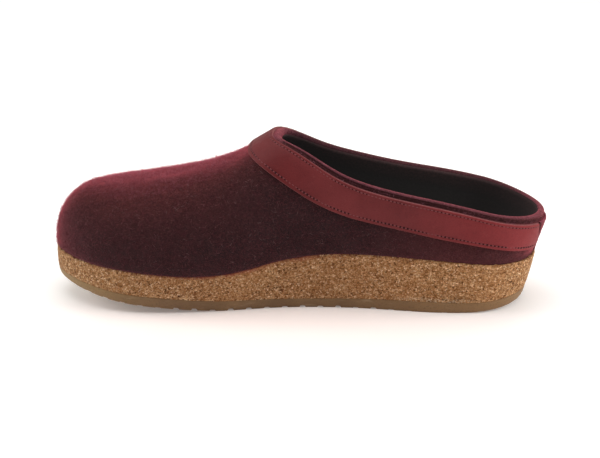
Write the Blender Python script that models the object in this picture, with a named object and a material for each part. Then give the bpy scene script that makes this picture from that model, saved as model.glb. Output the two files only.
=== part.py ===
"""Felt slipper for the right foot: rubber outsole, cork midsole, insole, felt upper,
leather collar band and heel strip. Toe towards -X, inner side towards -Y, floor at z = 0."""
import math

import bpy
import numpy as np

# Main sizes of the shoe, in metres.
LENGTH = 0.2727            # footprint along the line where the felt meets the cork
BALL_WIDTH = 0.100
RIDGE_HEIGHT = 0.100       # the last's ridge above the floor, at the instep
SOLE_EDGE = 0.030          # the line where the felt meets the cork, above the floor
TOE_SPRING = 0.0134
HEEL_RISE = 0.0034

# Piece sizes.
GAP = 0.0003               # between pieces that touch
FELT = 0.0045              # wall of the upper
RIM = 0.0052               # wall of the upper at its rounded top edge
RIM_REACH = 0.010          # over which the wall grows to the rim
BAND_THICK = 0.0014
BAND_TOP = 0.0011          # below the rim's outer edge
BAND_BOTTOM = 0.0195       # at the instep
STRIP_THICK = 0.0012
STRIP_THIN = 0.0008        # its thickness at its foot
STRIP_TOP = 0.0008
STRIP_HALF_TOP = 0.0150
STRIP_HALF_BOTTOM = 0.0076
STRIP_STOP = 0.0014        # above the cork
BAND_END_GAP = 0.0007      # between the band's end and the strip
INSOLE = 0.0020
INSOLE_EDGE = 0.0012       # its thickness where it meets the felt
INSOLE_POWER = 6           # how late across the bed it thins
SEAT_GAP = 0.0006          # between the insole's edge and the upper's inside
OUTSOLE = 0.0062
GROOVE_DEPTH = 0.0015
GROOVE_EDGE = 0.0010       # its depth at the sole's side
GROOVE_WIDTH = 0.0026
GROOVE_PITCH = 0.0101
GROOVE_SLOPE = 0.0006
GROOVE_WAVE = 0.0022
WAVE_FULL = 0.050          # sole's width from which the grooves wave in full
GROOVE_START, GROOVE_END = 0.0250, 0.0120      # from the heel's end, and from the toe's

# Sections from heel (0) to toe (1). Widths from the centre line are shares of BALL_WIDTH,
# the ridge's height is a share of RIDGE_HEIGHT, and the felt line's height on each side
# is a share of SOLE_EDGE.
SHARE, INNER, OUTER, SPINE, RIDGE, EDGE_IN, EDGE_OUT = range(7)
SECTIONS = np.array([
    # share  inner  outer   spine  ridge  edge_in edge_out
    [0.00, 0.330, 0.330, 0.000, 0.960, 0.960, 0.960],
    [0.10, 0.335, 0.335, 0.000, 0.990, 1.017, 1.000],
    [0.20, 0.330, 0.345, 0.000, 1.010, 1.070, 0.990],
    [0.32, 0.310, 0.365, -0.005, 1.010, 1.112, 0.930],
    [0.44, 0.305, 0.400, -0.010, 0.990, 1.090, 0.870],
    [0.53, 0.335, 0.445, -0.015, 0.955, 0.960, 0.833],
    [0.60, 0.385, 0.485, -0.020, 0.838, 0.815, 0.800],
    [0.68, 0.435, 0.515, -0.030, 0.746, 0.750, 0.783],
    [0.76, 0.465, 0.515, -0.045, 0.692, 0.790, 0.790],
    [0.84, 0.475, 0.485, -0.065, 0.660, 0.872, 0.850],
    [0.92, 0.455, 0.430, -0.090, 0.638, 0.920, 0.900],
    [1.00, 0.405, 0.360, -0.110, 0.610, 0.990, 0.990],
])

# How the outline and the toe's front close: share of the length, and roundness.
HEEL_ROUND, HEEL_POWER = 0.125, 2.0
TOE_ROUND, TOE_POWER = 0.20, 2.1
NOSE_ROUND, NOSE_POWER = 0.085, 2.5
UP_POWER, OUT_POWER = 2.3, 2.4     # of each section's arch
ANCHOR_BACK, ANCHOR_FRONT = 0.14, 0.80         # between which the form's columns look from the spine

# Collar's line from the throat to the centre back: share of the length, then the
# angle up each section's arch, in degrees, on the inner and the outer side.
COLLAR_SHARE, COLLAR_IN, COLLAR_OUT = range(3)
COLLAR = np.array([
    [0.540, 90.0, 90.0],
    [0.522, 70.5, 64.0],
    [0.465, 52.0, 46.8],
    [0.39, 36.2, 37.5],
    [0.29, 27.2, 29.8],
    [0.19, 23.0, 25.2],
    [0.09, 18.9, 20.3],
    [0.02, 16.3, 16.5],
    [0.00, 15.7, 15.7],
])
COLLAR_STEP = 0.0012       # of each degree of the arch, where the collar's curve is spread out

# Lower edge of the collar band below the rim, as a share of BAND_BOTTOM.
BAND_SHARE, BAND_DOWN = range(2)
BAND = np.array([
    [0.00, 0.87],
    [0.10, 0.89],
    [0.20, 0.97],
    [0.30, 0.95],
    [0.42, 1.00],
    [0.50, 0.98],
    [0.54, 0.90],
])

LEAN = 0.0058              # the collar's lean back at the heel
LEAN_SPAN, LEAN_POWER = 0.35, 1.05
LEAN_FADE = 2             # how the lean dies out towards the front
LEAN_FROM = 0.0025         # above the felt line, where the lean begins
LEAN_HEIGHT = 0.0225       # above the felt line, where LEAN is reached

# Sole wall: how far the cork stands out at its top, and how far the rubber's top and foot
# lie inside the felt line, as shares of FLARE. The rubber's height is a share of OUTSOLE.
FLARE = 0.0060
WALL_SHARE, PROUD, TOP_IN, FOOT_IN, THICK = range(5)
WALLS = np.array([
    # share proud  top_in foot_in thick
    [0.00, 0.20, 0.54, 0.80, 0.90],
    [0.08, 0.13, 0.53, 0.73, 0.97],
    [0.20, 0.05, 0.25, 0.30, 1.06],
    [0.32, 0.00, 0.30, 0.38, 1.03],
    [0.48, 0.00, 0.28, 0.35, 0.90],
    [0.62, 0.00, 0.24, 0.48, 1.06],
    [0.80, 0.00, 0.14, 0.30, 1.03],
    [0.92, 0.00, 0.08, 0.15, 0.80],
    [1.00, 0.00, 0.00, 0.08, 0.62],
])
SPRING_FROM, SPRING_POWER = 0.63, 1.4
RISE_SPAN, RISE_POWER = 0.16, 1.5

# Footbed: depth of its middle below the felt line, as a share of CUP_DEPTH.
CUP_DEPTH = 0.0075
BED_ROUND, BED_END_POWER = 0.14, 2.0   # share of the length over which it rises to its ends
BED_POWER = 2.6            # roundness across
CUP_SHARE, CUP_DOWN = range(2)
CUP = np.array([
    [0.00, 0.55],
    [0.12, 1.00],
    [0.25, 0.85],
    [0.45, 0.45],
    [0.62, 0.60],
    [0.80, 0.60],
    [1.00, 0.45],
])

# Mesh fineness.
HEEL_COLUMNS, FRONT_COLUMNS = 14, 22
SPLIT_SHARE = 0.36         # where the heel's columns end and the front's begin
FINE = 4                   # columns of the form itself for each column of a mesh
FORM_ROWS = 49
FELT_LINE_POINTS, COLLAR_POINTS, GUIDE_POINTS = 1500, 600, 200
RAY_REACH, RAY_STEPS = 3.0, 45     # from an anchor, as a multiple of its target's distance
OUTER_ROWS, INNER_ROWS, RIM_STEPS = 14, 9, 6
BAND_ROWS = 5
ROW_POWER = 1.15           # gathers the wall's rows towards its rim
FOOT_SHARE = 0.15          # of the wall's height over which its inside turns in to the ledge
STRIP_COLUMNS, STRIP_ROWS = 10, 10
WALL_ROWS = 4
BED_ROWS = 8
TREAD_ROWS = 10
HEEL_STATIONS = (0.0, 0.012, 0.03, 0.055)      # of the tread, as shares of the length
TOE_STATIONS = (0.022, 0.009, 0.0)
SHARP_ANGLE = math.radians(38)

MEDIAL, LATERAL = -1, 1


def spline(xs, ys):
    """Natural cubic through the points, as a function."""
    xs = np.asarray(xs, float)
    ys = np.asarray(ys, float)
    count = len(xs)
    step = np.diff(xs)
    system = np.eye(count)
    right = np.zeros_like(ys)
    for i in range(1, count - 1):
        system[i, i - 1] = step[i - 1]
        system[i, i] = 2 * (step[i - 1] + step[i])
        system[i, i + 1] = step[i]
        right[i] = 6 * ((ys[i + 1] - ys[i]) / step[i] - (ys[i] - ys[i - 1]) / step[i - 1])
    bend = np.linalg.solve(system, right)

    def value(x):
        x = np.asarray(x, float)
        i = np.clip(np.searchsorted(xs, x) - 1, 0, count - 2)
        a = (xs[i + 1] - x) / step[i]
        b = (x - xs[i]) / step[i]
        reach = step[i]
        if ys.ndim > 1:
            a, b, reach = a[..., None], b[..., None], reach[..., None]
        curve = ((a ** 3 - a) * bend[i] + (b ** 3 - b) * bend[i + 1]) * reach ** 2 / 6
        return a * ys[i] + b * ys[i + 1] + curve

    return value


def column(table, name, size):
    return spline(table[:, 0], table[:, name] * size)


inner_half = column(SECTIONS, INNER, BALL_WIDTH)
outer_half = column(SECTIONS, OUTER, BALL_WIDTH)
spine = column(SECTIONS, SPINE, BALL_WIDTH)
ridge = column(SECTIONS, RIDGE, RIDGE_HEIGHT)
edge_in = column(SECTIONS, EDGE_IN, SOLE_EDGE)
edge_out = column(SECTIONS, EDGE_OUT, SOLE_EDGE)
band_bottom = column(BAND, BAND_DOWN, BAND_BOTTOM)
proud_at = column(WALLS, PROUD, FLARE)
top_in_at = column(WALLS, TOP_IN, FLARE)
foot_in_at = column(WALLS, FOOT_IN, FLARE)
rubber_at = column(WALLS, THICK, OUTSOLE)
cup_at = column(CUP, CUP_DOWN, CUP_DEPTH)


def quarter(share, power):
    """Quarter of a superellipse: 0 at 0 and 1 from 1 on."""
    share = np.clip(share, 0, 1)
    return (1 - (1 - share) ** power) ** (1 / power)


def half_width(u, side):
    """From the spine line to the felt line on one side."""
    full = np.where(np.asarray(side) < 0, inner_half(u) + spine(u), outer_half(u) - spine(u))
    return full * quarter(u / HEEL_ROUND, HEEL_POWER) * quarter((1 - u) / TOE_ROUND, TOE_POWER)


def edge_height(u, across):
    """Height of the felt line, across from -1 on the inner side to 1 on the outer."""
    return (edge_in(u) + edge_out(u)) / 2 + (edge_out(u) - edge_in(u)) / 2 * across


def arch_height(u, edge):
    return (ridge(u) - edge) * quarter((1 - u) / NOSE_ROUND, NOSE_POWER)


def sole_bottom(u):
    """Height of the outsole's underside, without its grooves."""
    toe = TOE_SPRING * np.clip((u - SPRING_FROM) / (1 - SPRING_FROM), 0, 1) ** SPRING_POWER
    heel = HEEL_RISE * np.clip(1 - u / RISE_SPAN, 0, 1) ** RISE_POWER
    return toe + heel


def outside(point):
    """Below 0 inside the last, above 0 outside."""
    u = -point[..., 0] / LENGTH
    beyond = (u <= 1e-6) | (u >= 1 - 1e-6)
    u = np.clip(u, 1e-6, 1 - 1e-6)
    y = point[..., 1] - spine(u)
    width = np.maximum(half_width(u, np.sign(y)), 1e-9)
    edge = edge_height(u, np.clip(y / width, -1, 1))
    rise = np.maximum((point[..., 2] - edge) / np.maximum(arch_height(u, edge), 1e-9), 0)
    form = (np.abs(y) / width) ** OUT_POWER + rise ** UP_POWER - 1
    return np.where(beyond, 1.0, form)


def on_last(anchor, target):
    """Where the ray from the anchor through the target leaves the last."""
    way = target - anchor
    low = np.zeros(way.shape[:-1])
    high = np.full(way.shape[:-1], RAY_REACH)
    for _ in range(RAY_STEPS):
        middle = (low + high) / 2
        out = outside(anchor + way * middle[..., None]) > 0
        high = np.where(out, middle, high)
        low = np.where(out, low, middle)
    return anchor + way * low[..., None]


def lengths(path):
    steps = np.linalg.norm(np.diff(path, axis=0), axis=1)
    return np.concatenate([[0], np.cumsum(steps)])


def points_at(path, distances):
    along = lengths(path)
    return np.stack([np.interp(distances, along, path[:, k]) for k in range(3)], 1)


def felt_line(side):
    """Felt line of one side, from the centre back to the toe's tip."""
    u = (1 - np.cos(np.linspace(0, np.pi, FELT_LINE_POINTS))) / 2
    y = spine(u) + side * half_width(u, side)
    return np.stack([-u * LENGTH, y, edge_height(u, side)], 1)


def collar_line(side):
    """Collar of one side, from the centre back to the throat."""
    rows = COLLAR[:, [COLLAR_SHARE, COLLAR_IN if side < 0 else COLLAR_OUT]]
    mirrored = [rows[1, 0], 180 - rows[1, 1]]
    rows = np.vstack([[mirrored], rows])
    spread = rows * np.array([LENGTH, COLLAR_STEP])
    along = np.concatenate([[0], np.cumsum(np.linalg.norm(np.diff(spread, axis=0), axis=1))])
    curve = spline(along, rows)(np.linspace(along[1], along[-1], COLLAR_POINTS))[::-1]
    u = np.clip(curve[:, 0], 0, 1)
    angle = np.radians(np.clip(curve[:, 1], 0, 90))
    across = np.cos(angle) ** (2 / OUT_POWER)
    edge = edge_height(u, side * across)
    y = spine(u) + side * half_width(u, side) * across
    z = edge + arch_height(u, edge) * np.sin(angle) ** (2 / UP_POWER)
    return np.stack([-u * LENGTH, y, z], 1)


def column_stops(path):
    """Distances along a line at which the form's columns stand."""
    along = lengths(path)
    split = along[np.argmin(np.abs(path[:, 0] / LENGTH + SPLIT_SHARE))]
    numbers = np.arange((HEEL_COLUMNS + FRONT_COLUMNS) * FINE + 1) / FINE
    return spline([0, HEEL_COLUMNS, HEEL_COLUMNS + FRONT_COLUMNS], [0, split, along[-1]])(numbers)


def form_column(foot, top):
    """Curve on the last from the collar down to the felt line."""
    t = np.linspace(0, 1, GUIDE_POINTS)[:, None]
    guide = foot + (top - foot) * t
    x = np.clip(guide[:, 0], -ANCHOR_FRONT * LENGTH, -ANCHOR_BACK * LENGTH)
    z = foot[2] + (top[2] - foot[2]) / 2 * t[:, 0]
    anchor = np.stack([x, spine(-x / LENGTH), z], 1)
    curve = on_last(anchor, guide)
    curve[0], curve[-1] = foot, top
    curve = curve[::-1]
    return points_at(curve, np.linspace(0, lengths(curve)[-1], FORM_ROWS))


def lean_back(point):
    """The heel's wall leans back towards its collar."""
    u = np.clip(-point[..., 0] / LENGTH, 0, 1)
    share = np.clip(1 - u / LEAN_SPAN, 0, 1) ** LEAN_FADE
    rise = (point[..., 2] - edge_height(u, 0) - LEAN_FROM) / (LEAN_HEIGHT - LEAN_FROM)
    leaned = point.copy()
    leaned[..., 0] += LEAN * share * np.maximum(rise, 0) ** LEAN_POWER
    return leaned


def unit(vector):
    return vector / np.maximum(np.linalg.norm(vector, axis=-1, keepdims=True), 1e-12)


def upper_form():
    """Points and outward directions of the upper's outside: columns round the shoe
    from the centre back over the inner side and the toe, rows from collar to felt line."""
    halves = []
    for side in (MEDIAL, LATERAL):
        foot_path, top_path = felt_line(side), collar_line(side)
        feet = points_at(foot_path, column_stops(foot_path))
        tops = points_at(top_path, column_stops(top_path))
        halves.append(np.array([form_column(a, b) for a, b in zip(feet, tops)]))
    inner, outer = halves
    points = lean_back(np.concatenate([inner, outer[::-1][1:-1]]))
    round_way = np.roll(points, -1, 0) - np.roll(points, 1, 0)
    down_way = np.gradient(points, axis=1)
    out = unit(np.cross(round_way, down_way))
    return points, out


POINTS, OUT = upper_form()
DEPTHS = np.stack([lengths(c) for c in POINTS])      # distance below the collar
TOTAL = len(POINTS)
HALF = TOTAL // 2                                    # column at the toe's tip


def skin(where, depth, lift):
    """Point off the upper's outside: column number, distance below the collar, lift."""
    low = int(math.floor(where)) % TOTAL
    mix = where - math.floor(where)
    found = []
    for k in (low, (low + 1) % TOTAL):
        at = min(max(depth, 0.0), DEPTHS[k, -1])
        point = np.array([np.interp(at, DEPTHS[k], POINTS[k, :, j]) for j in range(3)])
        way = np.array([np.interp(at, DEPTHS[k], OUT[k, :, j]) for j in range(3)])
        found.append((point, way))
    point = found[0][0] * (1 - mix) + found[1][0] * mix
    way = unit(found[0][1] * (1 - mix) + found[1][1] * mix)
    return point + way * lift


def wall(depth):
    """Thickness of the felt at a distance below the collar."""
    share = min(max(depth / RIM_REACH, 0.0), 1.0)
    return RIM + (FELT - RIM) * share


def level(way):
    """The direction with its rise taken out."""
    flat = way.copy()
    flat[2] = 0.0
    return unit(flat)


def foot_ring():
    """Felt line's points with their level outward directions, one for each mesh column."""
    ring = []
    for k in range(0, TOTAL, FINE):
        ring.append((POINTS[k, -1], level(OUT[k, -1])))
    return ring


def closed_tube(rings, loop):
    """Faces between the points of neighbouring rings, and between last and first ring
    when the rings make a loop."""
    count = len(rings[0])
    verts = [tuple(p) for ring in rings for p in ring]
    faces = []
    last = len(rings) if loop else len(rings) - 1
    for i in range(last):
        j = (i + 1) % len(rings)
        for k in range(count):
            m = (k + 1) % count
            faces.append((i * count + k, j * count + k, j * count + m, i * count + m))
    return verts, faces


def capped_tube(rings):
    """Tube that is open in its rings' direction, with a face over each end."""
    verts, faces = closed_tube(rings, False)
    count = len(rings[0])
    faces.append(tuple(range(count)))
    base = (len(rings) - 1) * count
    faces.append(tuple(base + k for k in reversed(range(count))))
    return verts, faces


def upper_section(where):
    """One closed section through the upper's wall."""
    k = int(where) % TOTAL
    deep = DEPTHS[k, -1]
    ring = []
    for depth in np.linspace(0, 1, OUTER_ROWS) ** ROW_POWER * deep:
        ring.append(skin(where, depth, 0.0))
    foot = POINTS[k, -1]
    inward = -level(OUT[k, -1])
    ring.append(foot + inward * FELT)
    for share in np.linspace(1, 0, INNER_ROWS)[1:] ** ROW_POWER:
        depth = share * deep
        keep = min(1.0, (1 - share) / FOOT_SHARE)
        straight = skin(where, depth, 0.0) + inward * FELT
        ring.append(straight * (1 - keep) + skin(where, depth, -wall(depth)) * keep)
    top_out = ring[0]
    top_in = ring[-1]
    middle = (top_out + top_in) / 2
    across = (top_in - top_out) / 2
    up = unit(POINTS[k, 0] - POINTS[k, 2])
    for step in range(1, RIM_STEPS):
        angle = math.pi * step / RIM_STEPS
        ring.append(middle + across * math.cos(angle) + up * np.linalg.norm(across) * math.sin(angle))
    return ring


def make_upper():
    rings = [upper_section(k) for k in range(0, TOTAL, FINE)]
    return closed_tube(rings, True)


def strip_half(share):
    return STRIP_HALF_TOP + (STRIP_HALF_BOTTOM - STRIP_HALF_TOP) * share


def where_at(depth, distance, side):
    """Column number at which the form is a distance to one side of the centre back."""
    reach = HEEL_COLUMNS * FINE
    numbers = np.arange(reach)
    rows = numbers if side < 0 else -numbers
    ys = np.array([abs(skin(float(k), depth, 0.0)[1]) for k in rows])
    found = np.interp(distance, ys, numbers)
    return found if side < 0 else -found


def strip_deep():
    return DEPTHS[0, -1] - STRIP_STOP


def strip_share(depth):
    return (depth - STRIP_TOP) / (strip_deep() - STRIP_TOP)


def make_heel_strip():
    depths = np.linspace(STRIP_TOP, strip_deep(), STRIP_ROWS)
    rings = []
    for depth in depths:
        share = strip_share(depth)
        half = strip_half(share)
        thick = STRIP_THICK + (STRIP_THIN - STRIP_THICK) * share
        ring = []
        for lift, sweep in ((GAP, 1), (GAP + thick, -1)):
            for across in np.linspace(-1, 1, STRIP_COLUMNS + 1) * sweep:
                where = where_at(depth, abs(across) * half, MEDIAL if across < 0 else LATERAL)
                ring.append(skin(where, depth, lift))
        rings.append(ring)
    return capped_tube(rings)


def band_end(depth, side):
    return where_at(depth, strip_half(strip_share(depth)) + BAND_END_GAP, side)


def band_depths(where):
    """Distances below the collar of the band's rows at a column."""
    top = skin(where, 0.0, 0.0)
    return np.linspace(BAND_TOP, float(band_bottom(share_of(top))), BAND_ROWS)


def make_collar_band():
    back = band_depths(0.0)
    starts = [band_end(d, MEDIAL) for d in back]
    ends = [band_end(d, LATERAL) + TOTAL for d in back]
    first = int(math.floor(max(starts) / FINE) + 1) * FINE
    last = int(math.ceil(min(ends) / FINE) - 1) * FINE
    stations = [(starts, back)]
    for k in range(first, last + 1, FINE):
        stations.append(([float(k)] * BAND_ROWS, band_depths(k)))
    stations.append((ends, back))
    rings = []
    for row, depths in stations:
        ring = [skin(w, d, GAP) for w, d in zip(row, depths)]
        ring += [skin(w, d, GAP + BAND_THICK) for w, d in zip(row[::-1], depths[::-1])]
        rings.append(ring)
    return capped_tube(rings)


def share_of(point):
    return float(np.clip(-point[0] / LENGTH, 0, 1))


def cork_wall():
    """Rings down the cork's side, from the felt line to the rubber."""
    top, base = [], []
    for foot, way in foot_ring():
        u = share_of(foot)
        top.append(foot + way * proud_at(u) - np.array([0, 0, GAP]))
        point = foot - way * top_in_at(u)
        point[2] = sole_bottom(u) + rubber_at(u)
        base.append(point)
    rings = []
    for t in np.linspace(0, 1, WALL_ROWS):
        rings.append([a * (1 - t) + b * t for a, b in zip(top, base)])
    return rings


def bed_height(u, across):
    """Footbed's surface, across from -1 to 1."""
    ends = quarter(u / BED_ROUND, BED_END_POWER) * quarter((1 - u) / BED_ROUND, BED_END_POWER)
    hollow = (1 - abs(across) ** BED_POWER) * ends
    return edge_height(u, across) - GAP - cup_at(u) * hollow


def ladder(ring, rows, height):
    """Rows of points between each inner point of a ring and its partner on the outer side."""
    count = len(ring)
    half = count // 2
    rungs = []
    for k in range(1, half):
        a, b = ring[k], ring[(count - k) % count]
        rung = []
        for j in range(1, rows):
            across = -1 + 2 * j / rows
            point = a * (0.5 - across / 2) + b * (0.5 + across / 2)
            rung.append(np.array([point[0], point[1], height(point, across)]))
        rungs.append(rung)
    return rungs


def ladder_faces(count, start, inner_start, rows, flip):
    """Faces of a ladder whose ring starts at start and whose inner points follow."""
    half = count // 2

    def at(k, j):
        if k == 0 or k == half:
            return start + k
        if j == 0:
            return start + k
        if j == rows:
            return start + count - k
        return inner_start + (k - 1) * (rows - 1) + (j - 1)

    faces = []
    for k in range(half):
        for j in range(rows):
            corners = [at(k, j), at(k + 1, j), at(k + 1, j + 1), at(k, j + 1)]
            face = []
            for c in corners:
                if c not in face:
                    face.append(c)
            if len(face) > 2:
                faces.append(tuple(reversed(face)) if flip else tuple(face))
    return faces


def slab(rings, rows, low_height, high_height):
    """Solid between a ladder over its first ring and a ladder under its last ring."""
    verts, faces = closed_tube(rings, False)
    count = len(rings[0])
    for ring, start, height, flip in (
            (rings[0], 0, high_height, False),
            (rings[-1], (len(rings) - 1) * count, low_height, True)):
        inner_start = len(verts)
        for rung in ladder(ring, rows, height):
            verts += [tuple(p) for p in rung]
        faces += ladder_faces(count, start, inner_start, rows, flip)
    return verts, faces


def make_cork():
    ledge = FELT + GAP
    lip = [foot - way * ledge - np.array([0, 0, GAP]) for foot, way in foot_ring()]
    rings = [lip] + cork_wall()
    return slab(
        rings, BED_ROWS,
        lambda p, across: sole_bottom(share_of(p)) + rubber_at(share_of(p)),
        lambda p, across: bed_height(share_of(p), across))


def make_insole():
    inset = FELT + GAP + SEAT_GAP
    low, high = [], []
    for foot, way in foot_ring():
        point = foot - way * inset
        low.append(point)
        high.append(point + np.array([0, 0, INSOLE_EDGE]))

    def under(p, across):
        return bed_height(share_of(p), across) + GAP

    def over(p, across):
        thick = INSOLE_EDGE + (INSOLE - INSOLE_EDGE) * (1 - across ** INSOLE_POWER)
        return under(p, across) + thick

    return slab([high, low], BED_ROWS, under, over)


def tread_profile():
    """Stations along the sole, as shares of its length, each with how far it is cut."""
    half = GROOVE_WIDTH / 2
    shape = ((-half - GROOVE_SLOPE, 0.0), (-half, 1.0), (half, 1.0), (half + GROOVE_SLOPE, 0.0))
    stations = [(share, 0.0) for share in HEEL_STATIONS]
    run = LENGTH - GROOVE_START - GROOVE_END
    count = round(run / GROOVE_PITCH)
    for k in range(count + 1):
        centre = GROOVE_START + run * k / count
        stations += [((centre + offset) / LENGTH, cut) for offset, cut in shape]
    stations += [(1 - share, 0.0) for share in TOE_STATIONS]
    return stations


def sole_outline(side, inset_at):
    """One side of the rubber's outline, as a fine curve from heel to toe."""
    points = []
    for k in range(HALF + 1):
        n = k if side < 0 else (TOTAL - k) % TOTAL
        foot, way = POINTS[n, -1], level(OUT[n, -1])
        points.append(foot - way * inset_at(share_of(foot)))
    return np.array(points)


def make_outsole():
    stations = tread_profile()

    def top_height(point):
        return sole_bottom(share_of(point)) + rubber_at(share_of(point)) - GAP

    def ring(inset_at, upper_edge):
        points = []
        for side, walk in ((MEDIAL, stations), (LATERAL, stations[1:-1][::-1])):
            path = sole_outline(side, inset_at)
            for share, cut in walk:
                x = path[0, 0] + (path[-1, 0] - path[0, 0]) * share
                y = np.interp(-x, -path[:, 0], path[:, 1])
                point = np.array([x, y, 0.0])
                low = sole_bottom(share_of(point)) + cut * GROOVE_EDGE
                point[2] = top_height(point) if upper_edge else low
                points.append(point)
        return points

    top = ring(top_in_at, True)
    base = ring(foot_in_at, False)
    count = len(top)
    half = count // 2

    def wave(across):
        return GROOVE_WAVE * math.sin(math.pi * (across + 1))

    verts, faces = closed_tube([top, base], False)
    inner_start = len(verts)
    for rung in ladder(top, TREAD_ROWS, lambda p, across: top_height(p)):
        verts += [tuple(p) for p in rung]
    faces += ladder_faces(count, 0, inner_start, TREAD_ROWS, False)
    inner_start = len(verts)
    for k in range(1, half):
        a, b = base[k], base[count - k]
        depth = stations[k][1] * GROOVE_DEPTH
        fade = min(1.0, abs(b[1] - a[1]) / WAVE_FULL)
        for j in range(1, TREAD_ROWS):
            across = -1 + 2 * j / TREAD_ROWS
            point = a * (0.5 - across / 2) + b * (0.5 + across / 2)
            point[0] += wave(across) * fade
            point[2] = sole_bottom(share_of(point)) + depth
            verts.append(tuple(point))
    faces += ladder_faces(count, count, inner_start, TREAD_ROWS, True)
    return verts, faces


# Each node's builder, colour and roughness.
PIECES = [
    ("outsole", make_outsole, (0.190, 0.125, 0.065), 0.60),
    ("cork_midsole", make_cork, (0.390, 0.205, 0.084), 0.85),
    ("insole", make_insole, (0.030, 0.025, 0.024), 0.95),
    ("upper", make_upper, (0.060, 0.018, 0.022), 1.00),
    ("collar_band", make_collar_band, (0.165, 0.028, 0.030), 0.55),
    ("heel_strip", make_heel_strip, (0.110, 0.030, 0.045), 1.00),
]


def clear_scene():
    for item in list(bpy.data.objects):
        bpy.data.objects.remove(item)


def material(name, colour, roughness):
    made = bpy.data.materials.new(name)
    made.use_nodes = True
    shader = made.node_tree.nodes["Principled BSDF"]
    shader.inputs["Base Color"].default_value = (*colour, 1.0)
    shader.inputs["Roughness"].default_value = roughness
    return made


def volume_of(verts, faces):
    total = 0.0
    for face in faces:
        a = verts[face[0]]
        for k in range(1, len(face) - 1):
            total += float(np.dot(a, np.cross(verts[face[k]], verts[face[k + 1]])))
    return total / 6


def add_piece(name, verts, faces, colour, roughness):
    if volume_of(verts, faces) < 0:
        faces = [tuple(reversed(face)) for face in faces]
    mesh = bpy.data.meshes.new(name)
    mesh.from_pydata([tuple(map(float, v)) for v in verts], [], faces)
    mesh.validate()
    piece = bpy.data.objects.new(name, mesh)
    bpy.context.scene.collection.objects.link(piece)
    piece.data.materials.append(material(name, colour, roughness))
    mesh.shade_smooth()
    mesh.set_sharp_from_angle(angle=SHARP_ANGLE)


def main():
    clear_scene()
    built = [(name, *make(), colour, roughness) for name, make, colour, roughness in PIECES]
    every = np.concatenate([np.array(verts) for _, verts, _, _, _ in built])
    centre = (every.min(0) + every.max(0)) / 2
    shift = np.array([centre[0], centre[1], every[:, 2].min()])
    for name, verts, faces, colour, roughness in built:
        add_piece(name, np.array(verts) - shift, faces, colour, roughness)


main()
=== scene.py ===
"""Looks of the felt slipper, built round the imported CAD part."""
import math

import bpy
import numpy as np
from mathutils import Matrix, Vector


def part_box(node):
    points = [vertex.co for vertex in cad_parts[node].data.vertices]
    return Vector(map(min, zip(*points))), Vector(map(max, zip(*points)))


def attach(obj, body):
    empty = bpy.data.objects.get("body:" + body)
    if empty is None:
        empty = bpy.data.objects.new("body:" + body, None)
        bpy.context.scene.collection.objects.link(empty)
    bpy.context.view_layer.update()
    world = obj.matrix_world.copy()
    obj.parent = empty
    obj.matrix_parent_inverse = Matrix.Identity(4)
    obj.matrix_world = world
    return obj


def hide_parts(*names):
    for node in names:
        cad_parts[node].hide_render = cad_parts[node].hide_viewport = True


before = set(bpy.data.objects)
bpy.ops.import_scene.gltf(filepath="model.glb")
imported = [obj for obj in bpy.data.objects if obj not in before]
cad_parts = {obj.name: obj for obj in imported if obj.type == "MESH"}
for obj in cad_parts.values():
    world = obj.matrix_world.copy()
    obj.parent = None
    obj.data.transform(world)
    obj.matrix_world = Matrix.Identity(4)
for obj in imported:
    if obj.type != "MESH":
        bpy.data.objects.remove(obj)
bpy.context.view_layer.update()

# Main sizes of the shoe, in metres, as in the CAD.
LENGTH = 0.2727            # footprint along the line where the felt meets the cork
BALL_WIDTH = 0.100         # of the last, across the ball of the foot
RIDGE_HEIGHT = 0.100       # the last's ridge above the floor, at the instep
SOLE_EDGE = 0.030          # the line where the felt meets the cork, above the floor
TOE_SPRING = 0.0134        # rise of the sole's underside at the toe's end
HEEL_RISE = 0.0034         # and at the heel's end

# Piece sizes.
GAP = 0.0003               # between pieces that touch
FELT = 0.0045              # wall of the upper
RIM = 0.0052               # wall of the upper at its rounded top edge
RIM_REACH = 0.010          # over which the wall grows to the rim
BAND_THICK = 0.0014        # of the leather
BAND_TOP = 0.0011          # below the rim's outer edge
BAND_BOTTOM = 0.0195       # at the instep
STRIP_THICK = 0.0012
STRIP_THIN = 0.0008        # its thickness at its foot
STRIP_TOP = 0.0008         # below the rim's outer edge
STRIP_HALF_TOP = 0.0150    # half its width, at its top and at its foot
STRIP_HALF_BOTTOM = 0.0076
STRIP_STOP = 0.0014        # above the cork
BAND_END_GAP = 0.0007      # between the band's end and the strip
INSOLE = 0.0020
INSOLE_EDGE = 0.0012       # its thickness where it meets the felt
INSOLE_POWER = 6           # how late across the bed it thins
SEAT_GAP = 0.0006          # between the insole's edge and the upper's inside
OUTSOLE = 0.0062           # the rubber's thickness, before its share along the sole
GROOVE_DEPTH = 0.0015
GROOVE_EDGE = 0.0010       # its depth at the sole's side
GROOVE_WIDTH = 0.0026
GROOVE_PITCH = 0.0101
GROOVE_SLOPE = 0.0006      # width of each groove's sloping side
GROOVE_WAVE = 0.0022       # how far a groove swings along the sole
WAVE_FULL = 0.050          # sole's width from which the grooves wave in full
GROOVE_START, GROOVE_END = 0.0250, 0.0120      # from the heel's end, and from the toe's

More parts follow.
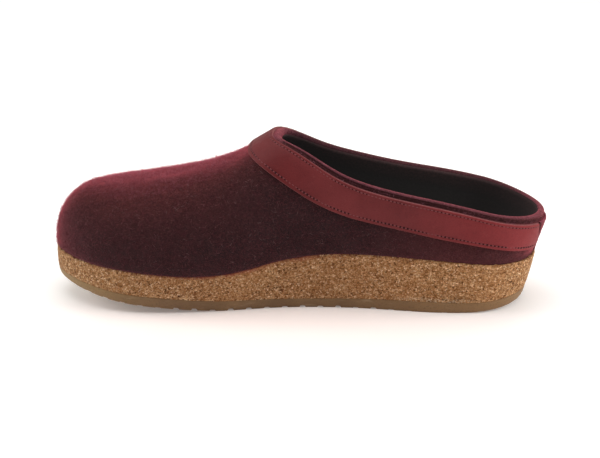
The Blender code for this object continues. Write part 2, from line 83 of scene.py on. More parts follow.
# Sections from heel (0) to toe (1). Widths from the centre line are shares of BALL_WIDTH,
# the ridge's height is a share of RIDGE_HEIGHT, and the felt line's height on each side
# is a share of SOLE_EDGE.
SHARE, INNER, OUTER, SPINE, RIDGE, EDGE_IN, EDGE_OUT = range(7)
SECTIONS = np.array([
    # share  inner  outer   spine  ridge  edge_in edge_out
    [0.00, 0.330, 0.330, 0.000, 0.960, 0.960, 0.960],
    [0.10, 0.335, 0.335, 0.000, 0.990, 1.017, 1.000],
    [0.20, 0.330, 0.345, 0.000, 1.010, 1.070, 0.990],
    [0.32, 0.310, 0.365, -0.005, 1.010, 1.112, 0.930],
    [0.44, 0.305, 0.400, -0.010, 0.990, 1.090, 0.870],
    [0.53, 0.335, 0.445, -0.015, 0.955, 0.960, 0.833],
    [0.60, 0.385, 0.485, -0.020, 0.838, 0.815, 0.800],
    [0.68, 0.435, 0.515, -0.030, 0.746, 0.750, 0.783],
    [0.76, 0.465, 0.515, -0.045, 0.692, 0.790, 0.790],
    [0.84, 0.475, 0.485, -0.065, 0.660, 0.872, 0.850],
    [0.92, 0.455, 0.430, -0.090, 0.638, 0.920, 0.900],
    [1.00, 0.405, 0.360, -0.110, 0.610, 0.990, 0.990],
])

# How the outline and the toe's front close: share of the length, and roundness.
HEEL_ROUND, HEEL_POWER = 0.125, 2.0
TOE_ROUND, TOE_POWER = 0.20, 2.1
NOSE_ROUND, NOSE_POWER = 0.085, 2.5
UP_POWER, OUT_POWER = 2.3, 2.4     # of each section's arch
ANCHOR_BACK, ANCHOR_FRONT = 0.14, 0.80         # between which the form's columns look from the spine

# Collar's line from the throat to the centre back: share of the length, then the
# angle up each section's arch, in degrees, on the inner and the outer side.
COLLAR_SHARE, COLLAR_IN, COLLAR_OUT = range(3)
COLLAR = np.array([
    [0.540, 90.0, 90.0],
    [0.522, 70.5, 64.0],
    [0.465, 52.0, 46.8],
    [0.39, 36.2, 37.5],
    [0.29, 27.2, 29.8],
    [0.19, 23.0, 25.2],
    [0.09, 18.9, 20.3],
    [0.02, 16.3, 16.5],
    [0.00, 15.7, 15.7],
])
COLLAR_STEP = 0.0012       # of each degree of the arch, where the collar's curve is spread out

# Lower edge of the collar band below the rim, as a share of BAND_BOTTOM.
BAND_DOWN = 1
BAND = np.array([
    [0.00, 0.87],
    [0.10, 0.89],
    [0.20, 0.97],
    [0.30, 0.95],
    [0.42, 1.00],
    [0.50, 0.98],
    [0.54, 0.90],
])

LEAN = 0.0058              # the collar's lean back at the heel
LEAN_SPAN, LEAN_POWER = 0.35, 1.05
LEAN_FROM = 0.0025         # above the felt line, where the lean begins
LEAN_HEIGHT = 0.0225       # above the felt line, where LEAN is reached

# Sole wall: how far the cork stands out at its top, and how far the rubber's top and foot
# lie inside the felt line, as shares of FLARE. The rubber's height is a share of OUTSOLE.
FLARE = 0.0060
PROUD, TOP_IN, FOOT_IN, THICK = range(1, 5)
WALLS = np.array([
    # share proud  top_in foot_in thick
    [0.00, 0.20, 0.54, 0.80, 0.90],
    [0.08, 0.13, 0.53, 0.73, 0.97],
    [0.20, 0.05, 0.25, 0.30, 1.06],
    [0.32, 0.00, 0.30, 0.38, 1.03],
    [0.48, 0.00, 0.28, 0.35, 0.90],
    [0.62, 0.00, 0.24, 0.48, 1.06],
    [0.80, 0.00, 0.14, 0.30, 1.03],
    [0.92, 0.00, 0.08, 0.15, 0.80],
    [1.00, 0.00, 0.00, 0.08, 0.62],
])
SPRING_FROM, SPRING_POWER = 0.63, 1.4
RISE_SPAN, RISE_POWER = 0.16, 1.5

# Footbed: depth of its middle below the felt line, as a share of CUP_DEPTH.
CUP_DEPTH = 0.0075
BED_ROUND, BED_POWER = 0.14, 2.6   # share of the length over which it rises to its ends
CUP_DOWN = 1
CUP = np.array([
    [0.00, 0.55],
    [0.12, 1.00],
    [0.25, 0.85],
    [0.45, 0.45],
    [0.62, 0.60],
    [0.80, 0.60],
    [1.00, 0.45],
])

# Fineness of the form. Every FINE-th column is one of the CAD's.
HEEL_COLUMNS, FRONT_COLUMNS, FINE = 14, 22, 6
SPLIT_SHARE = 0.36
FORM_ROWS = 97
MEDIAL, LATERAL = -1, 1
rng = np.random.default_rng(7)


def spline(xs, ys):
    """Natural cubic through the points, as a function."""
    xs = np.asarray(xs, float)
    ys = np.asarray(ys, float)
    count = len(xs)
    step = np.diff(xs)
    system = np.eye(count)
    right = np.zeros_like(ys)
    for i in range(1, count - 1):
        system[i, i - 1:i + 2] = step[i - 1], 2 * (step[i - 1] + step[i]), step[i]
        right[i] = 6 * ((ys[i + 1] - ys[i]) / step[i] - (ys[i] - ys[i - 1]) / step[i - 1])
    bend = np.linalg.solve(system, right)

    def value(x):
        x = np.asarray(x, float)
        i = np.clip(np.searchsorted(xs, x) - 1, 0, count - 2)
        a = (xs[i + 1] - x) / step[i]
        b = (x - xs[i]) / step[i]
        reach = step[i]
        if ys.ndim > 1:
            a, b, reach = a[..., None], b[..., None], reach[..., None]
        curve = ((a ** 3 - a) * bend[i] + (b ** 3 - b) * bend[i + 1]) * reach ** 2 / 6
        return a * ys[i] + b * ys[i + 1] + curve

    return value


def column(table, name, size):
    """Curve through one column of a table, over the shares in its first."""
    return spline(table[:, SHARE], table[:, name] * size)


inner_half = column(SECTIONS, INNER, BALL_WIDTH)
outer_half = column(SECTIONS, OUTER, BALL_WIDTH)
spine = column(SECTIONS, SPINE, BALL_WIDTH)
ridge = column(SECTIONS, RIDGE, RIDGE_HEIGHT)
edge_in = column(SECTIONS, EDGE_IN, SOLE_EDGE)
edge_out = column(SECTIONS, EDGE_OUT, SOLE_EDGE)
cup_at = column(CUP, CUP_DOWN, CUP_DEPTH)
band_bottom = column(BAND, BAND_DOWN, BAND_BOTTOM)
proud_at = column(WALLS, PROUD, FLARE)
top_in_at = column(WALLS, TOP_IN, FLARE)
foot_in_at = column(WALLS, FOOT_IN, FLARE)
rubber_at = column(WALLS, THICK, OUTSOLE)


def quarter(share, power):
    """A rounded rise from 0 to 1, as a quarter of an oval."""
    share = np.clip(share, 0, 1)
    return (1 - (1 - share) ** power) ** (1 / power)


def half_width(u, side):
    """From the spine to the footprint's edge."""
    full = np.where(np.asarray(side) < 0, inner_half(u) + spine(u), outer_half(u) - spine(u))
    return full * quarter(u / HEEL_ROUND, HEEL_POWER) * quarter((1 - u) / TOE_ROUND, TOE_POWER)


def edge_height(u, across):
    """The felt line's height, between its inner (-1) and outer (1) side."""
    return (edge_in(u) + edge_out(u)) / 2 + (edge_out(u) - edge_in(u)) / 2 * across


def arch_height(u, edge):
    return (ridge(u) - edge) * quarter((1 - u) / NOSE_ROUND, NOSE_POWER)


def sole_bottom(u):
    """The sole's underside: flat, with the toe's spring and the heel's rise."""
    toe = TOE_SPRING * np.clip((u - SPRING_FROM) / (1 - SPRING_FROM), 0, 1) ** SPRING_POWER
    heel = HEEL_RISE * np.clip(1 - u / RISE_SPAN, 0, 1) ** RISE_POWER
    return toe + heel


def outside(point):
    """Above 0 for points outside the last."""
    u = -point[..., 0] / LENGTH
    beyond = (u <= 1e-6) | (u >= 1 - 1e-6)
    u = np.clip(u, 1e-6, 1 - 1e-6)
    y = point[..., 1] - spine(u)
    width = np.maximum(half_width(u, np.sign(y)), 1e-9)
    edge = edge_height(u, np.clip(y / width, -1, 1))
    rise = np.maximum((point[..., 2] - edge) / np.maximum(arch_height(u, edge), 1e-9), 0)
    form = (np.abs(y) / width) ** OUT_POWER + rise ** UP_POWER - 1
    return np.where(beyond, 1.0, form)


FARTHEST, HALVINGS = 3.0, 24       # of the search for the last's outside


def on_last(anchor, target):
    """Where the ways from anchors to targets leave the last, by halving."""
    way = target - anchor
    low = np.zeros(way.shape[:-1])
    high = np.full(way.shape[:-1], FARTHEST)
    for _ in range(HALVINGS):
        middle = (low + high) / 2
        out = outside(anchor + way * middle[..., None]) > 0
        high = np.where(out, middle, high)
        low = np.where(out, low, middle)
    return anchor + way * low[..., None]


def lengths(path):
    """How far each point lies along the path."""
    steps = np.linalg.norm(np.diff(path, axis=0), axis=1)
    return np.concatenate([[0], np.cumsum(steps)])


def points_at(path, distances):
    along = lengths(path)
    return np.stack([np.interp(distances, along, path[:, k]) for k in range(3)], 1)


def felt_line(side, count=1500):
    """Where the felt meets the cork, from heel to toe on one side."""
    u = (1 - np.cos(np.linspace(0, np.pi, count))) / 2
    y = spine(u) + side * half_width(u, side)
    return np.stack([-u * LENGTH, y, edge_height(u, side)], 1)


def collar_line(side, count=1200):
    """The collar's edge on one side, from the centre back to the throat."""
    rows = COLLAR[:, [COLLAR_SHARE, COLLAR_IN if side < 0 else COLLAR_OUT]]
    rows = np.vstack([[[rows[1, 0], 180 - rows[1, 1]]], rows])
    spread = rows * np.array([LENGTH, COLLAR_STEP])
    along = np.concatenate([[0], np.cumsum(np.linalg.norm(np.diff(spread, axis=0), axis=1))])
    curve = spline(along, rows)(np.linspace(along[1], along[-1], count))[::-1]
    u = np.clip(curve[:, 0], 0, 1)
    angle = np.radians(np.clip(curve[:, 1], 0, 90))
    across = np.cos(angle) ** (2 / OUT_POWER)
    edge = edge_height(u, side * across)
    y = spine(u) + side * half_width(u, side) * across
    z = edge + arch_height(u, edge) * np.sin(angle) ** (2 / UP_POWER)
    return np.stack([-u * LENGTH, y, z], 1)


def column_stops(path):
    """Where along the path the form's columns stand: denser round the heel."""
    along = lengths(path)
    split = along[np.argmin(np.abs(path[:, 0] / LENGTH + SPLIT_SHARE))]
    numbers = np.arange((HEEL_COLUMNS + FRONT_COLUMNS) * FINE + 1) / FINE
    return spline([0, HEEL_COLUMNS, HEEL_COLUMNS + FRONT_COLUMNS], [0, split, along[-1]])(numbers)


def form_column(foot, top):
    """One column over the last, from the collar down to the felt line."""
    t = np.linspace(0, 1, 160)[:, None]
    guide = foot + (top - foot) * t
    x = np.clip(guide[:, 0], -ANCHOR_FRONT * LENGTH, -ANCHOR_BACK * LENGTH)
    z = foot[2] + (top[2] - foot[2]) / 2 * t[:, 0]
    curve = on_last(np.stack([x, spine(-x / LENGTH), z], 1), guide)
    curve[0], curve[-1] = foot, top
    curve = curve[::-1]
    return points_at(curve, np.linspace(0, lengths(curve)[-1], FORM_ROWS))


def lean_back(point):
    """Lean the collar back at the heel."""
    u = np.clip(-point[..., 0] / LENGTH, 0, 1)
    share = np.clip(1 - u / LEAN_SPAN, 0, 1) ** 2
    rise = (point[..., 2] - edge_height(u, 0) - LEAN_FROM) / (LEAN_HEIGHT - LEAN_FROM)
    leaned = point.copy()
    leaned[..., 0] += LEAN * share * np.maximum(rise, 0) ** LEAN_POWER
    return leaned


def unit(vector):
    return vector / np.maximum(np.linalg.norm(vector, axis=-1, keepdims=True), 1e-12)


def upper_form():
    """The upper's outside as a closed ring of columns, with its outward ways."""
    halves = []
    for side in (MEDIAL, LATERAL):
        foot_path, top_path = felt_line(side), collar_line(side)
        feet = points_at(foot_path, column_stops(foot_path))
        tops = points_at(top_path, column_stops(top_path))
        halves.append(np.array([form_column(a, b) for a, b in zip(feet, tops)]))
    inner, outer = halves
    points = lean_back(np.concatenate([inner, outer[::-1][1:-1]]))
    round_way = np.roll(points, -1, 0) - np.roll(points, 1, 0)
    down_way = np.gradient(points, axis=1)
    return points, unit(np.cross(round_way, down_way))


POINTS, OUT = upper_form()

TOTAL = len(POINTS)
HALF = TOTAL // 2
DEEP = np.array([lengths(c)[-1] for c in POINTS])


def share_of(point):
    return np.clip(-point[..., 0] / LENGTH, 0, 1)


def level(way):
    """The way without its rise, at length 1."""
    flat = np.array(way, float)
    flat[..., 2] = 0
    return unit(flat)


FEET, LEVEL = POINTS[:, -1], level(OUT[:, -1])

# From the form's own frame, with the footprint's heel at x = 0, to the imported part's.
cork_edge = (FEET + LEVEL * proud_at(share_of(FEET))[:, None])[::FINE]
cork_low, cork_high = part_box("cork_midsole")
SHIFT = np.array([
    cork_high[0] - cork_edge[:, 0].max(),
    (cork_high[1] + cork_low[1]) / 2 - (cork_edge[:, 1].max() + cork_edge[:, 1].min()) / 2,
    0.0])


def smooth(value, start, end):
    t = np.clip((value - start) / (end - start), 0, 1)
    return t * t * (3 - 2 * t)


def hump(value, middle, width):
    return np.exp(-((value - middle) / width) ** 2)


def deep_at(where):
    """The form's depth from rim to felt line at column numbers."""
    low = np.floor(where).astype(int)
    mix = where - low
    return DEEP[low % TOTAL] * (1 - mix) + DEEP[(low + 1) % TOTAL] * mix


def skin(where, depth, lift):
    """Points off the upper's outside for arrays of column numbers, depths and lifts."""
    where, depth, lift = np.broadcast_arrays(np.asarray(where, float), depth, lift)
    low = np.floor(where).astype(int)
    mix = (where - low)[..., None]
    found = []
    for k in (low % TOTAL, (low + 1) % TOTAL):
        row = np.clip(depth / DEEP[k], 0, 1) * (FORM_ROWS - 1)
        i = np.minimum(row.astype(int), FORM_ROWS - 2)
        f = (row - i)[..., None]
        found.append([table[k, i] * (1 - f) + table[k, i + 1] * f for table in (POINTS, OUT)])
    point = found[0][0] * (1 - mix) + found[1][0] * mix
    way = unit(found[0][1] * (1 - mix) + found[1][1] * mix)
    return point + way * lift[..., None]


def waves(point, size, seed, octaves=3):
    """Smooth noise from a few sines in turned directions, about -1 to 1."""
    pick = np.random.default_rng(seed)
    total = np.zeros(point.shape[:-1])
    weight = 0.0
    for octave in range(octaves):
        for _ in range(5):
            way = unit(pick.normal(size=3)) * 2 * math.pi / (size / 1.9 ** octave) * pick.uniform(0.7, 1.3)
            total += np.sin(point @ way + pick.uniform(0, 6.28)) * 0.6 ** octave
        weight += 0.6 ** octave
    return total / (weight * 2.6)


def mesh_piece(name, verts, faces, materials, slots=None, sharp=None):
    mesh = bpy.data.meshes.new(name)
    mesh.from_pydata((np.asarray(verts) + SHIFT).tolist(), [], faces)
    for made in materials:
        mesh.materials.append(made)
    if slots is not None:
        mesh.polygons.foreach_set("material_index", np.asarray(slots, dtype=np.int32))
    piece = bpy.data.objects.new(name, mesh)
    bpy.context.scene.collection.objects.link(piece)
    mesh.shade_smooth()
    if sharp is not None:
        mesh.set_sharp_from_angle(angle=math.radians(sharp))
    return piece


def paint_points(piece, name, values):
    """A value for each of the piece's points, for its material to read."""
    made = piece.data.attributes.new(name, "FLOAT", "POINT")
    made.data.foreach_set("value", np.asarray(values).ravel())


def tube_faces(rings, count, loop, start=0):
    """Quads between neighbouring rings of count points; the rings' loop closes if asked."""
    i = np.arange(rings if loop else rings - 1)[:, None]
    k = np.arange(count)[None, :]
    j = (i + 1) % rings
    m = (k + 1) % count
    corners = [i * count + k, j * count + k, j * count + m, i * count + m]
    return np.stack(corners, -1).reshape(-1, 4) + start


def capped_tube(rings, count, start=0):
    """An open tube's faces, with one over each end."""
    first = list(range(start, start + count))
    last = [(rings - 1) * count + k for k in first]
    return tube_faces(rings, count, False, start).tolist() + [first, last[::-1]]


def turned_out(verts, faces):
    """The faces as lists, with their fronts outwards."""
    verts = np.asarray(verts)
    total = 0.0
    for face in faces:
        a, b, c = verts[face[0]], verts[face[1]], verts[face[2]]
        total += float(a @ np.cross(b, c))
        if len(face) == 4:
            total += float(a @ np.cross(c, verts[face[3]]))
    if total < 0:
        return [list(face)[::-1] for face in faces]
    return [list(face) for face in faces]


# Materials.
def srgb(red, green, blue):
    """Linear colour of an 8-bit one whose channels are all above 10."""
    return tuple(((v / 255 + 0.055) / 1.055) ** 2.4 for v in (red, green, blue))


class Shader:
    """A node tree, of a new material or of the world, with short ways to add to it."""

    def __init__(self, name, world=None):
        self.material = world or bpy.data.materials.new(name)
        self.material.use_nodes = True
        self.tree = self.material.node_tree
        self.main = self.tree.nodes["Background" if world else "Principled BSDF"]

    def node(self, kind, **values):
        made = self.tree.nodes.new(kind)
        for key, value in values.items():
            setattr(made, key, value)
        return made

    def put(self, socket, value):
        if isinstance(value, bpy.types.NodeSocket):
            self.tree.links.new(value, socket)
        elif socket.type == "RGBA":
            socket.default_value = (*value, 1.0)
        else:
            socket.default_value = value

    def fed(self, made, **values):
        """The node, with its sockets set by name."""
        for key, value in values.items():
            self.put(made.inputs[key.replace("_", " ")], value)
        return made

    def coords(self):
        return self.node("ShaderNodeTexCoord").outputs["Object"]

    def mapped(self, vector, scale=(1, 1, 1), rotation=(0, 0, 0), shift=(0, 0, 0)):
        made = self.node("ShaderNodeMapping")
        return self.fed(made, Vector=vector, Scale=scale, Rotation=rotation, Location=shift).outputs[0]

    def noise(self, vector, scale, detail=3, rough=0.5, output="Fac"):
        made = self.node("ShaderNodeTexNoise")
        return self.fed(made, Vector=vector, Scale=scale, Detail=detail, Roughness=rough).outputs[output]

    def cells(self, vector, scale, feature="F1", output="Distance"):
        made = self.node("ShaderNodeTexVoronoi", feature=feature)
        return self.fed(made, Vector=vector, Scale=scale).outputs[output]

    def maths(self, operation, a, b, clamp=False):
        made = self.node("ShaderNodeMath", operation=operation, use_clamp=clamp)
        self.put(made.inputs[0], a)
        self.put(made.inputs[1], b)
        return made.outputs[0]

    def product(self, first, *others):
        for other in others:
            first = self.maths("MULTIPLY", first, other)
        return first

    def vector(self, operation, a, b=None, scale=None):
        made = self.node("ShaderNodeVectorMath", operation=operation)
        self.put(made.inputs[0], a)
        if b is not None:
            self.put(made.inputs[1], b)
        if scale is not None:
            self.put(made.inputs["Scale"], scale)
        return made.outputs[0]

    def ramp(self, value, stops):
        made = self.node("ShaderNodeValToRGB")
        elements = made.color_ramp.elements
        while len(elements) < len(stops):
            elements.new(0.5)
        for element, (at, colour) in zip(elements, stops):
            element.position = at
            element.color = (*colour, 1.0)
        self.put(made.inputs[0], value)
        return made.outputs[0]

    def span(self, value, low, high, to_low=0.0, to_high=1.0):
        """The value's way from low to high, as a way from to_low to to_high, held at its ends."""
        made = self.node("ShaderNodeMapRange")
        made.clamp = True
        for socket, item in zip(made.inputs, (value, low, high, to_low, to_high)):
            self.put(socket, item)
        return made.outputs[0]

    def mix(self, share, a, b, kind="MIX"):
        made = self.node("ShaderNodeMix", data_type="RGBA", blend_type=kind)
        self.put(made.inputs[0], share)
        self.put(made.inputs[6], a)
        self.put(made.inputs[7], b)
        return made.outputs[2]

    def over(self, colour, paint, value, low, high, amount=1.0):
        """Paint over the colour, up to an amount, as the value goes from low to high."""
        return self.mix(self.span(value, low, high, 0.0, amount), colour, paint)

    def painted(self, name, output="Fac"):
        return self.node("ShaderNodeAttribute", attribute_name=name).outputs[output]

    def graze(self, power, normal=None):
        """Rises to 1 where the surface turns edge on."""
        made = self.fed(self.node("ShaderNodeLayerWeight"), Blend=0.5)
        if normal is not None:
            self.put(made.inputs["Normal"], normal)
        return self.maths("POWER", made.outputs["Facing"], power)

    def times(self, share, colour, factor):
        """The colour, multiplied by a factor as far as the share goes."""
        return self.mix(share, colour, self.mix(1.0, colour, factor, "MULTIPLY"))

    def split(self, vector):
        made = self.node("ShaderNodeSeparateXYZ")
        self.put(made.inputs[0], vector)
        return made.outputs

    def bump(self, height, distance, strength=1.0, under=None):
        made = self.fed(self.node("ShaderNodeBump"), Height=height, Distance=distance, Strength=strength)
        if under is not None:
            self.put(made.inputs["Normal"], under)
        return made.outputs[0]

    def finish(self, colour, roughness, normal=None, **others):
        self.fed(self.main, Base_Color=colour, Roughness=roughness, **others)
        if normal is not None:
            self.put(self.main.inputs["Normal"], normal)
        return self.material


HEEL_LIT_FELT = (0.088, 0.026, 0.028)      # redder and lighter towards the heel: painted light from the right-hand lamp
PAINTED_EDGE_SHEEN = (0.560, 0.070, 0.105)      # painted sheen of wool seen edge on
WOOL_SHEEN, WOOL_TINT = 0.42, (0.74, 0.19, 0.20)


def felt_material(name, dark, light, top, fibre, sheen_share=1.0, groove=False, tucked=False):
    """Milled wool: heathered colour and crossing fibres, with painted light on the top faces and towards
    the heel, painted sheen where it turns edge on, and painted shade in the rim's channel.
    """
    s = Shader(name)
    place = s.coords()
    cloud = s.noise(place, 55, 3, 0.55)
    colour = s.mix(s.span(cloud, 0.38, 0.64), dark, light)
    x, y, _ = s.split(place)
    # Painted light: redder and lighter towards the heel, which faces the right-hand lamp.
    colour = s.over(colour, HEEL_LIT_FELT, x, 0.035, 0.085, 0.90)
    # Painted light: the top faces lighter and redder, as lit from above.
    rise = s.split(s.node("ShaderNodeNewGeometry").outputs["Normal"])[2]
    colour = s.over(colour, top, rise, 0.10, 0.95, 1.0)
    # Painted sheen where the wool turns edge on, kept off the felt's foot when tucked.
    graze = s.graze(3.3)
    if tucked:
        graze = s.product(graze, s.painted("above"))
    colour = s.mix(s.product(graze, sheen_share), colour, PAINTED_EDGE_SHEEN)
    clump = s.noise(place, 620, 3, 0.6)
    clear = s.span(rise, 0.0, 0.8, 0.40, 1.0)
    dark_clumps = s.product(s.span(clump, 0.50, 0.36, 0.0, 0.50), clear)
    colour = s.mix(dark_clumps, colour, (0.014, 0.008, 0.009))
    colour = s.mix(s.product(s.span(clump, 0.54, 0.68, 0.0, 0.32), clear), colour, fibre)
    speck = s.noise(place, 1500, 4, 0.65)
    colour = s.over(colour, fibre, speck, 0.56, 0.74, 0.55)
    colour = s.over(colour, (0.012, 0.007, 0.008), speck, 0.47, 0.30, 0.60)
    height = speck
    for turn, shift in (((0.4, 0.9, 0.3), 0.0), ((1.3, -0.5, 1.9), 3.1), ((2.2, 0.3, -0.8), 7.7)):
        warp = s.vector("SCALE", s.noise(place, 170, 2, output="Color"), scale=0.006)
        bent = s.vector("ADD", place, warp)
        thread = s.noise(s.mapped(bent, (420, 3600, 3600), turn, (shift, 0, 0)), 1.0, 1, 0.4)
        line = s.span(thread, 0.66, 0.76)
        colour = s.mix(s.product(line, 0.45), colour, fibre)
        height = s.maths("ADD", height, s.product(line, 0.8))
    if groove:
        # Painted shade in the channel beside the leather, with a ragged edge.
        ragged = s.maths("ADD", s.painted("channel"), s.span(clump, 0.35, 0.65, -0.25, 0.25))
        colour = s.over(colour, (0.030, 0.0085, 0.0088), ragged, 0.30, 0.75, 0.92)
        # Painted shade on the rim's far side.
        colour = s.over(colour, (0.022, 0.012, 0.013), y, 0.010, 0.024, 0.62)
    soft = s.noise(place, 260, 3, 0.6)
    normal = s.bump(soft, 0.0009, 0.55)
    normal = s.bump(height, 0.00035, 0.85, normal)
    return s.finish(
        colour, 0.95, normal, Specular_IOR_Level=0.12,
        Sheen_Weight=WOOL_SHEEN, Sheen_Roughness=0.42, Sheen_Tint=WOOL_TINT)


def leather_material():
    s = Shader("band_leather")
    place = s.coords()
    cloud = s.noise(place, 38, 4, 0.6)
    colour = s.mix(s.span(cloud, 0.36, 0.66), (0.140, 0.0215, 0.0232), (0.184, 0.0290, 0.0310))
    x = s.split(place)[0]
    # Painted light: lighter towards the heel end, which faces the right-hand lamp. Painted shade: darker
    # towards the throat.
    colour = s.over(colour, (0.33, 0.028, 0.032), x, 0.06, 0.135, 0.55)
    colour = s.over(colour, (0.095, 0.005, 0.006), x, 0.018, -0.012, 0.55)
    grain = s.cells(place, 1900)
    wear = s.noise(place, 420, 3, 0.6)
    colour = s.over(colour, (0.30, 0.085, 0.085), wear, 0.60, 0.80, 0.22)
    colour = s.over(colour, (0.075, 0.012, 0.014), grain, 0.42, 0.75, 0.28)
    normal = s.bump(wear, 0.0003, 0.35)
    normal = s.bump(s.maths("SUBTRACT", 1.0, grain), 0.00012, 0.45, normal)
    rough = s.span(wear, 0.3, 0.7, 0.50, 0.64)
    return s.finish(colour, rough, normal, Specular_IOR_Level=0.18)


def leather_edge_material():
    s = Shader("band_edge")
    place = s.coords()
    fine = s.noise(place, 1600, 3, 0.6)
    colour = s.mix(s.span(fine, 0.35, 0.65), (0.150, 0.034, 0.036), (0.270, 0.085, 0.085))
    return s.finish(colour, 0.8, s.bump(fine, 0.0002, 0.6), Specular_IOR_Level=0.25)


LINING_PAINTED_GLOW = 0.0062       # painted light: a faint glow that lifts the dark inside


def lining_material():
    s = Shader("lining")
    place = s.coords()
    fine = s.noise(place, 700, 3, 0.6)
    # Red at the rim, where the upper's wool shows through, then darker further down as painted shade deep
    # inside, and darkest in the heel as painted shade in the heel cup.
    colour = s.mix(s.span(s.painted("down"), 0.0, 0.010), (0.092, 0.044, 0.045), (0.034, 0.030, 0.030))
    colour = s.over(colour, (0.030, 0.027, 0.026), fine, 0.65, 0.35, 0.5)
    colour = s.over(colour, (0.012, 0.007, 0.007), s.split(place)[0], 0.085, 0.125, 0.72)
    return s.finish(
        colour, 0.95, s.bump(fine, 0.0004, 0.7), Specular_IOR_Level=0.15,
        Emission_Color=(1.0, 0.95, 0.93), Emission_Strength=LINING_PAINTED_GLOW)


def thread_material():
    s = Shader("stitch_thread")
    place = s.coords()
    twist = s.noise(place, 3200, 2, 0.5)
    colour = s.mix(twist, (0.130, 0.026, 0.030), (0.230, 0.058, 0.062))
    return s.finish(colour, 0.65, s.bump(twist, 0.0001, 0.5), Specular_IOR_Level=0.3)


def cork_material():
    """Pressed cork crumbs in several browns, with dark seams, pits, dye and dirt, and painted light and
    shade along its length.
    """
    s = Shader("cork_crumbs")
    place = s.coords()
    warp = s.vector("SUBTRACT", s.noise(place, 480, 3, output="Color"), (0.5, 0.5, 0.5))
    bent = s.vector("ADD", place, s.vector("SCALE", warp, scale=0.0016))
    big = s.mapped(bent, (1.0, 1.0, 1.25), (0.5, 0.35, 0.8))
    crumb = s.cells(big, 900, "F1", "Color")
    tone = s.split(crumb)
    colour = s.ramp(tone[0], [
        (0.00, srgb(70, 39, 21)), (0.16, srgb(129, 82, 46)), (0.36, srgb(163, 112, 69)),
        (0.60, srgb(183, 133, 88)), (0.80, srgb(207, 161, 114)),
        (1.00, srgb(240, 208, 168))])
    small = s.cells(s.mapped(bent, (1.3, 1.0, 1.0), (1.2, 0.2, 0.4)), 1700, "F1", "Color")
    small_tone = s.split(small)
    fleck = s.ramp(small_tone[0], [
        (0.0, srgb(80, 48, 26)), (0.30, srgb(150, 106, 66)),
        (0.65, srgb(185, 142, 98)), (1.0, srgb(222, 184, 138))])
    colour = s.mix(s.span(small_tone[1], 0.50, 0.58, 0.0, 0.80), colour, fleck)
    seam = s.cells(big, 900, "DISTANCE_TO_EDGE")
    colour = s.over(colour, srgb(98, 63, 36), seam, 0.10, 0.0, 0.55)
    pit = s.noise(bent, 900, 2, 0.5)
    colour = s.over(colour, srgb(70, 42, 24), pit, 0.66, 0.74, 0.85)
    cloud = s.noise(place, 45, 3, 0.5)
    colour = s.over(colour, srgb(170, 118, 72), cloud, 0.35, 0.70, 0.22)
    x, _, z = s.split(place)
    # Painted light: lighter towards the heel end, which faces the right-hand lamp. Painted shade: a little
    # darker along the middle.
    colour = s.times(s.span(x, 0.020, 0.110, 0.0, 0.30), colour, (1.6, 1.5, 1.4))
    middle = s.product(s.span(x, -0.105, -0.075), s.span(x, 0.075, 0.045))
    colour = s.times(middle, colour, (0.99, 0.97, 0.97))
    # Drops of glue over the rubber's edge and dirt low on the wall, both near the heel.
    near_glue = s.span(s.painted("near_rubber"), 0.15, 0.60)
    drops = s.product(s.span(s.noise(place, 1100, 2, 0.6), 0.50, 0.58), near_glue)
    drops = s.product(drops, s.product(s.span(x, 0.052, 0.066), s.span(x, 0.104, 0.092)))
    colour = s.mix(s.product(drops, 0.8), colour, srgb(218, 194, 160))
    streak = s.noise(s.mapped(place, (160, 160, 900)), 1.0, 3, 0.6)
    low = s.span(z, 0.0125, 0.0070)
    along = s.product(s.span(x, 0.060, 0.078), s.span(x, 0.108, 0.090))
    smudge = s.product(s.product(low, along), s.span(streak, 0.42, 0.62))
    colour = s.mix(s.product(smudge, 0.62), colour, srgb(66, 48, 34))
    # Dye from the felt along the ball of the foot.
    at_ball = s.product(s.span(x, 0.035, 0.000), s.span(x, -0.115, -0.085, 0.08, 1.0))
    patch = s.noise(place, 90, 2, 0.5)
    dye = s.product(s.painted("near_felt"), s.span(patch, 0.36, 0.60, 0.15, 0.75))
    dye = s.product(dye, s.maths("ADD", at_ball, 0.08, clamp=True))
    colour = s.mix(dye, colour, srgb(150, 72, 60))
    height = s.maths("ADD", s.product(tone[1], 0.6), s.span(seam, 0.0, 0.16))
    height = s.maths("ADD", height, s.product(small_tone[2], 0.35))
    height = s.maths("SUBTRACT", height, s.span(pit, 0.64, 0.74, 0.0, 1.2))
    normal = s.bump(height, 0.00032, 0.80)
    return s.finish(colour, 0.82, normal, Specular_IOR_Level=0.20)


def rubber_material():
    s = Shader("sole_rubber")
    place = s.coords()
    x = s.split(place)[0]
    cloud = s.noise(place, 70, 3, 0.5)
    colour = s.mix(s.span(cloud, 0.35, 0.65), srgb(114, 86, 56), srgb(128, 98, 65))
    # Painted light: lighter towards the toe, where light comes through the thin rubber, and towards the
    # heel end, which faces the right-hand lamp.
    colour = s.over(colour, srgb(152, 124, 76), x, -0.075, -0.135, 0.65)
    colour = s.over(colour, srgb(148, 112, 72), x, 0.020, 0.105, 0.70)
    fine = s.noise(place, 1300, 3, 0.6)
    colour = s.over(colour, srgb(88, 66, 40), fine, 0.54, 0.70, 0.55)
    dust = s.noise(s.mapped(place, (90, 90, 500)), 1.0, 3, 0.6)
    colour = s.over(colour, srgb(172, 150, 120), dust, 0.60, 0.75, 0.30)
    normal = s.bump(fine, 0.00012, 0.4)
    return s.finish(colour, 0.58, normal, Specular_IOR_Level=0.40)


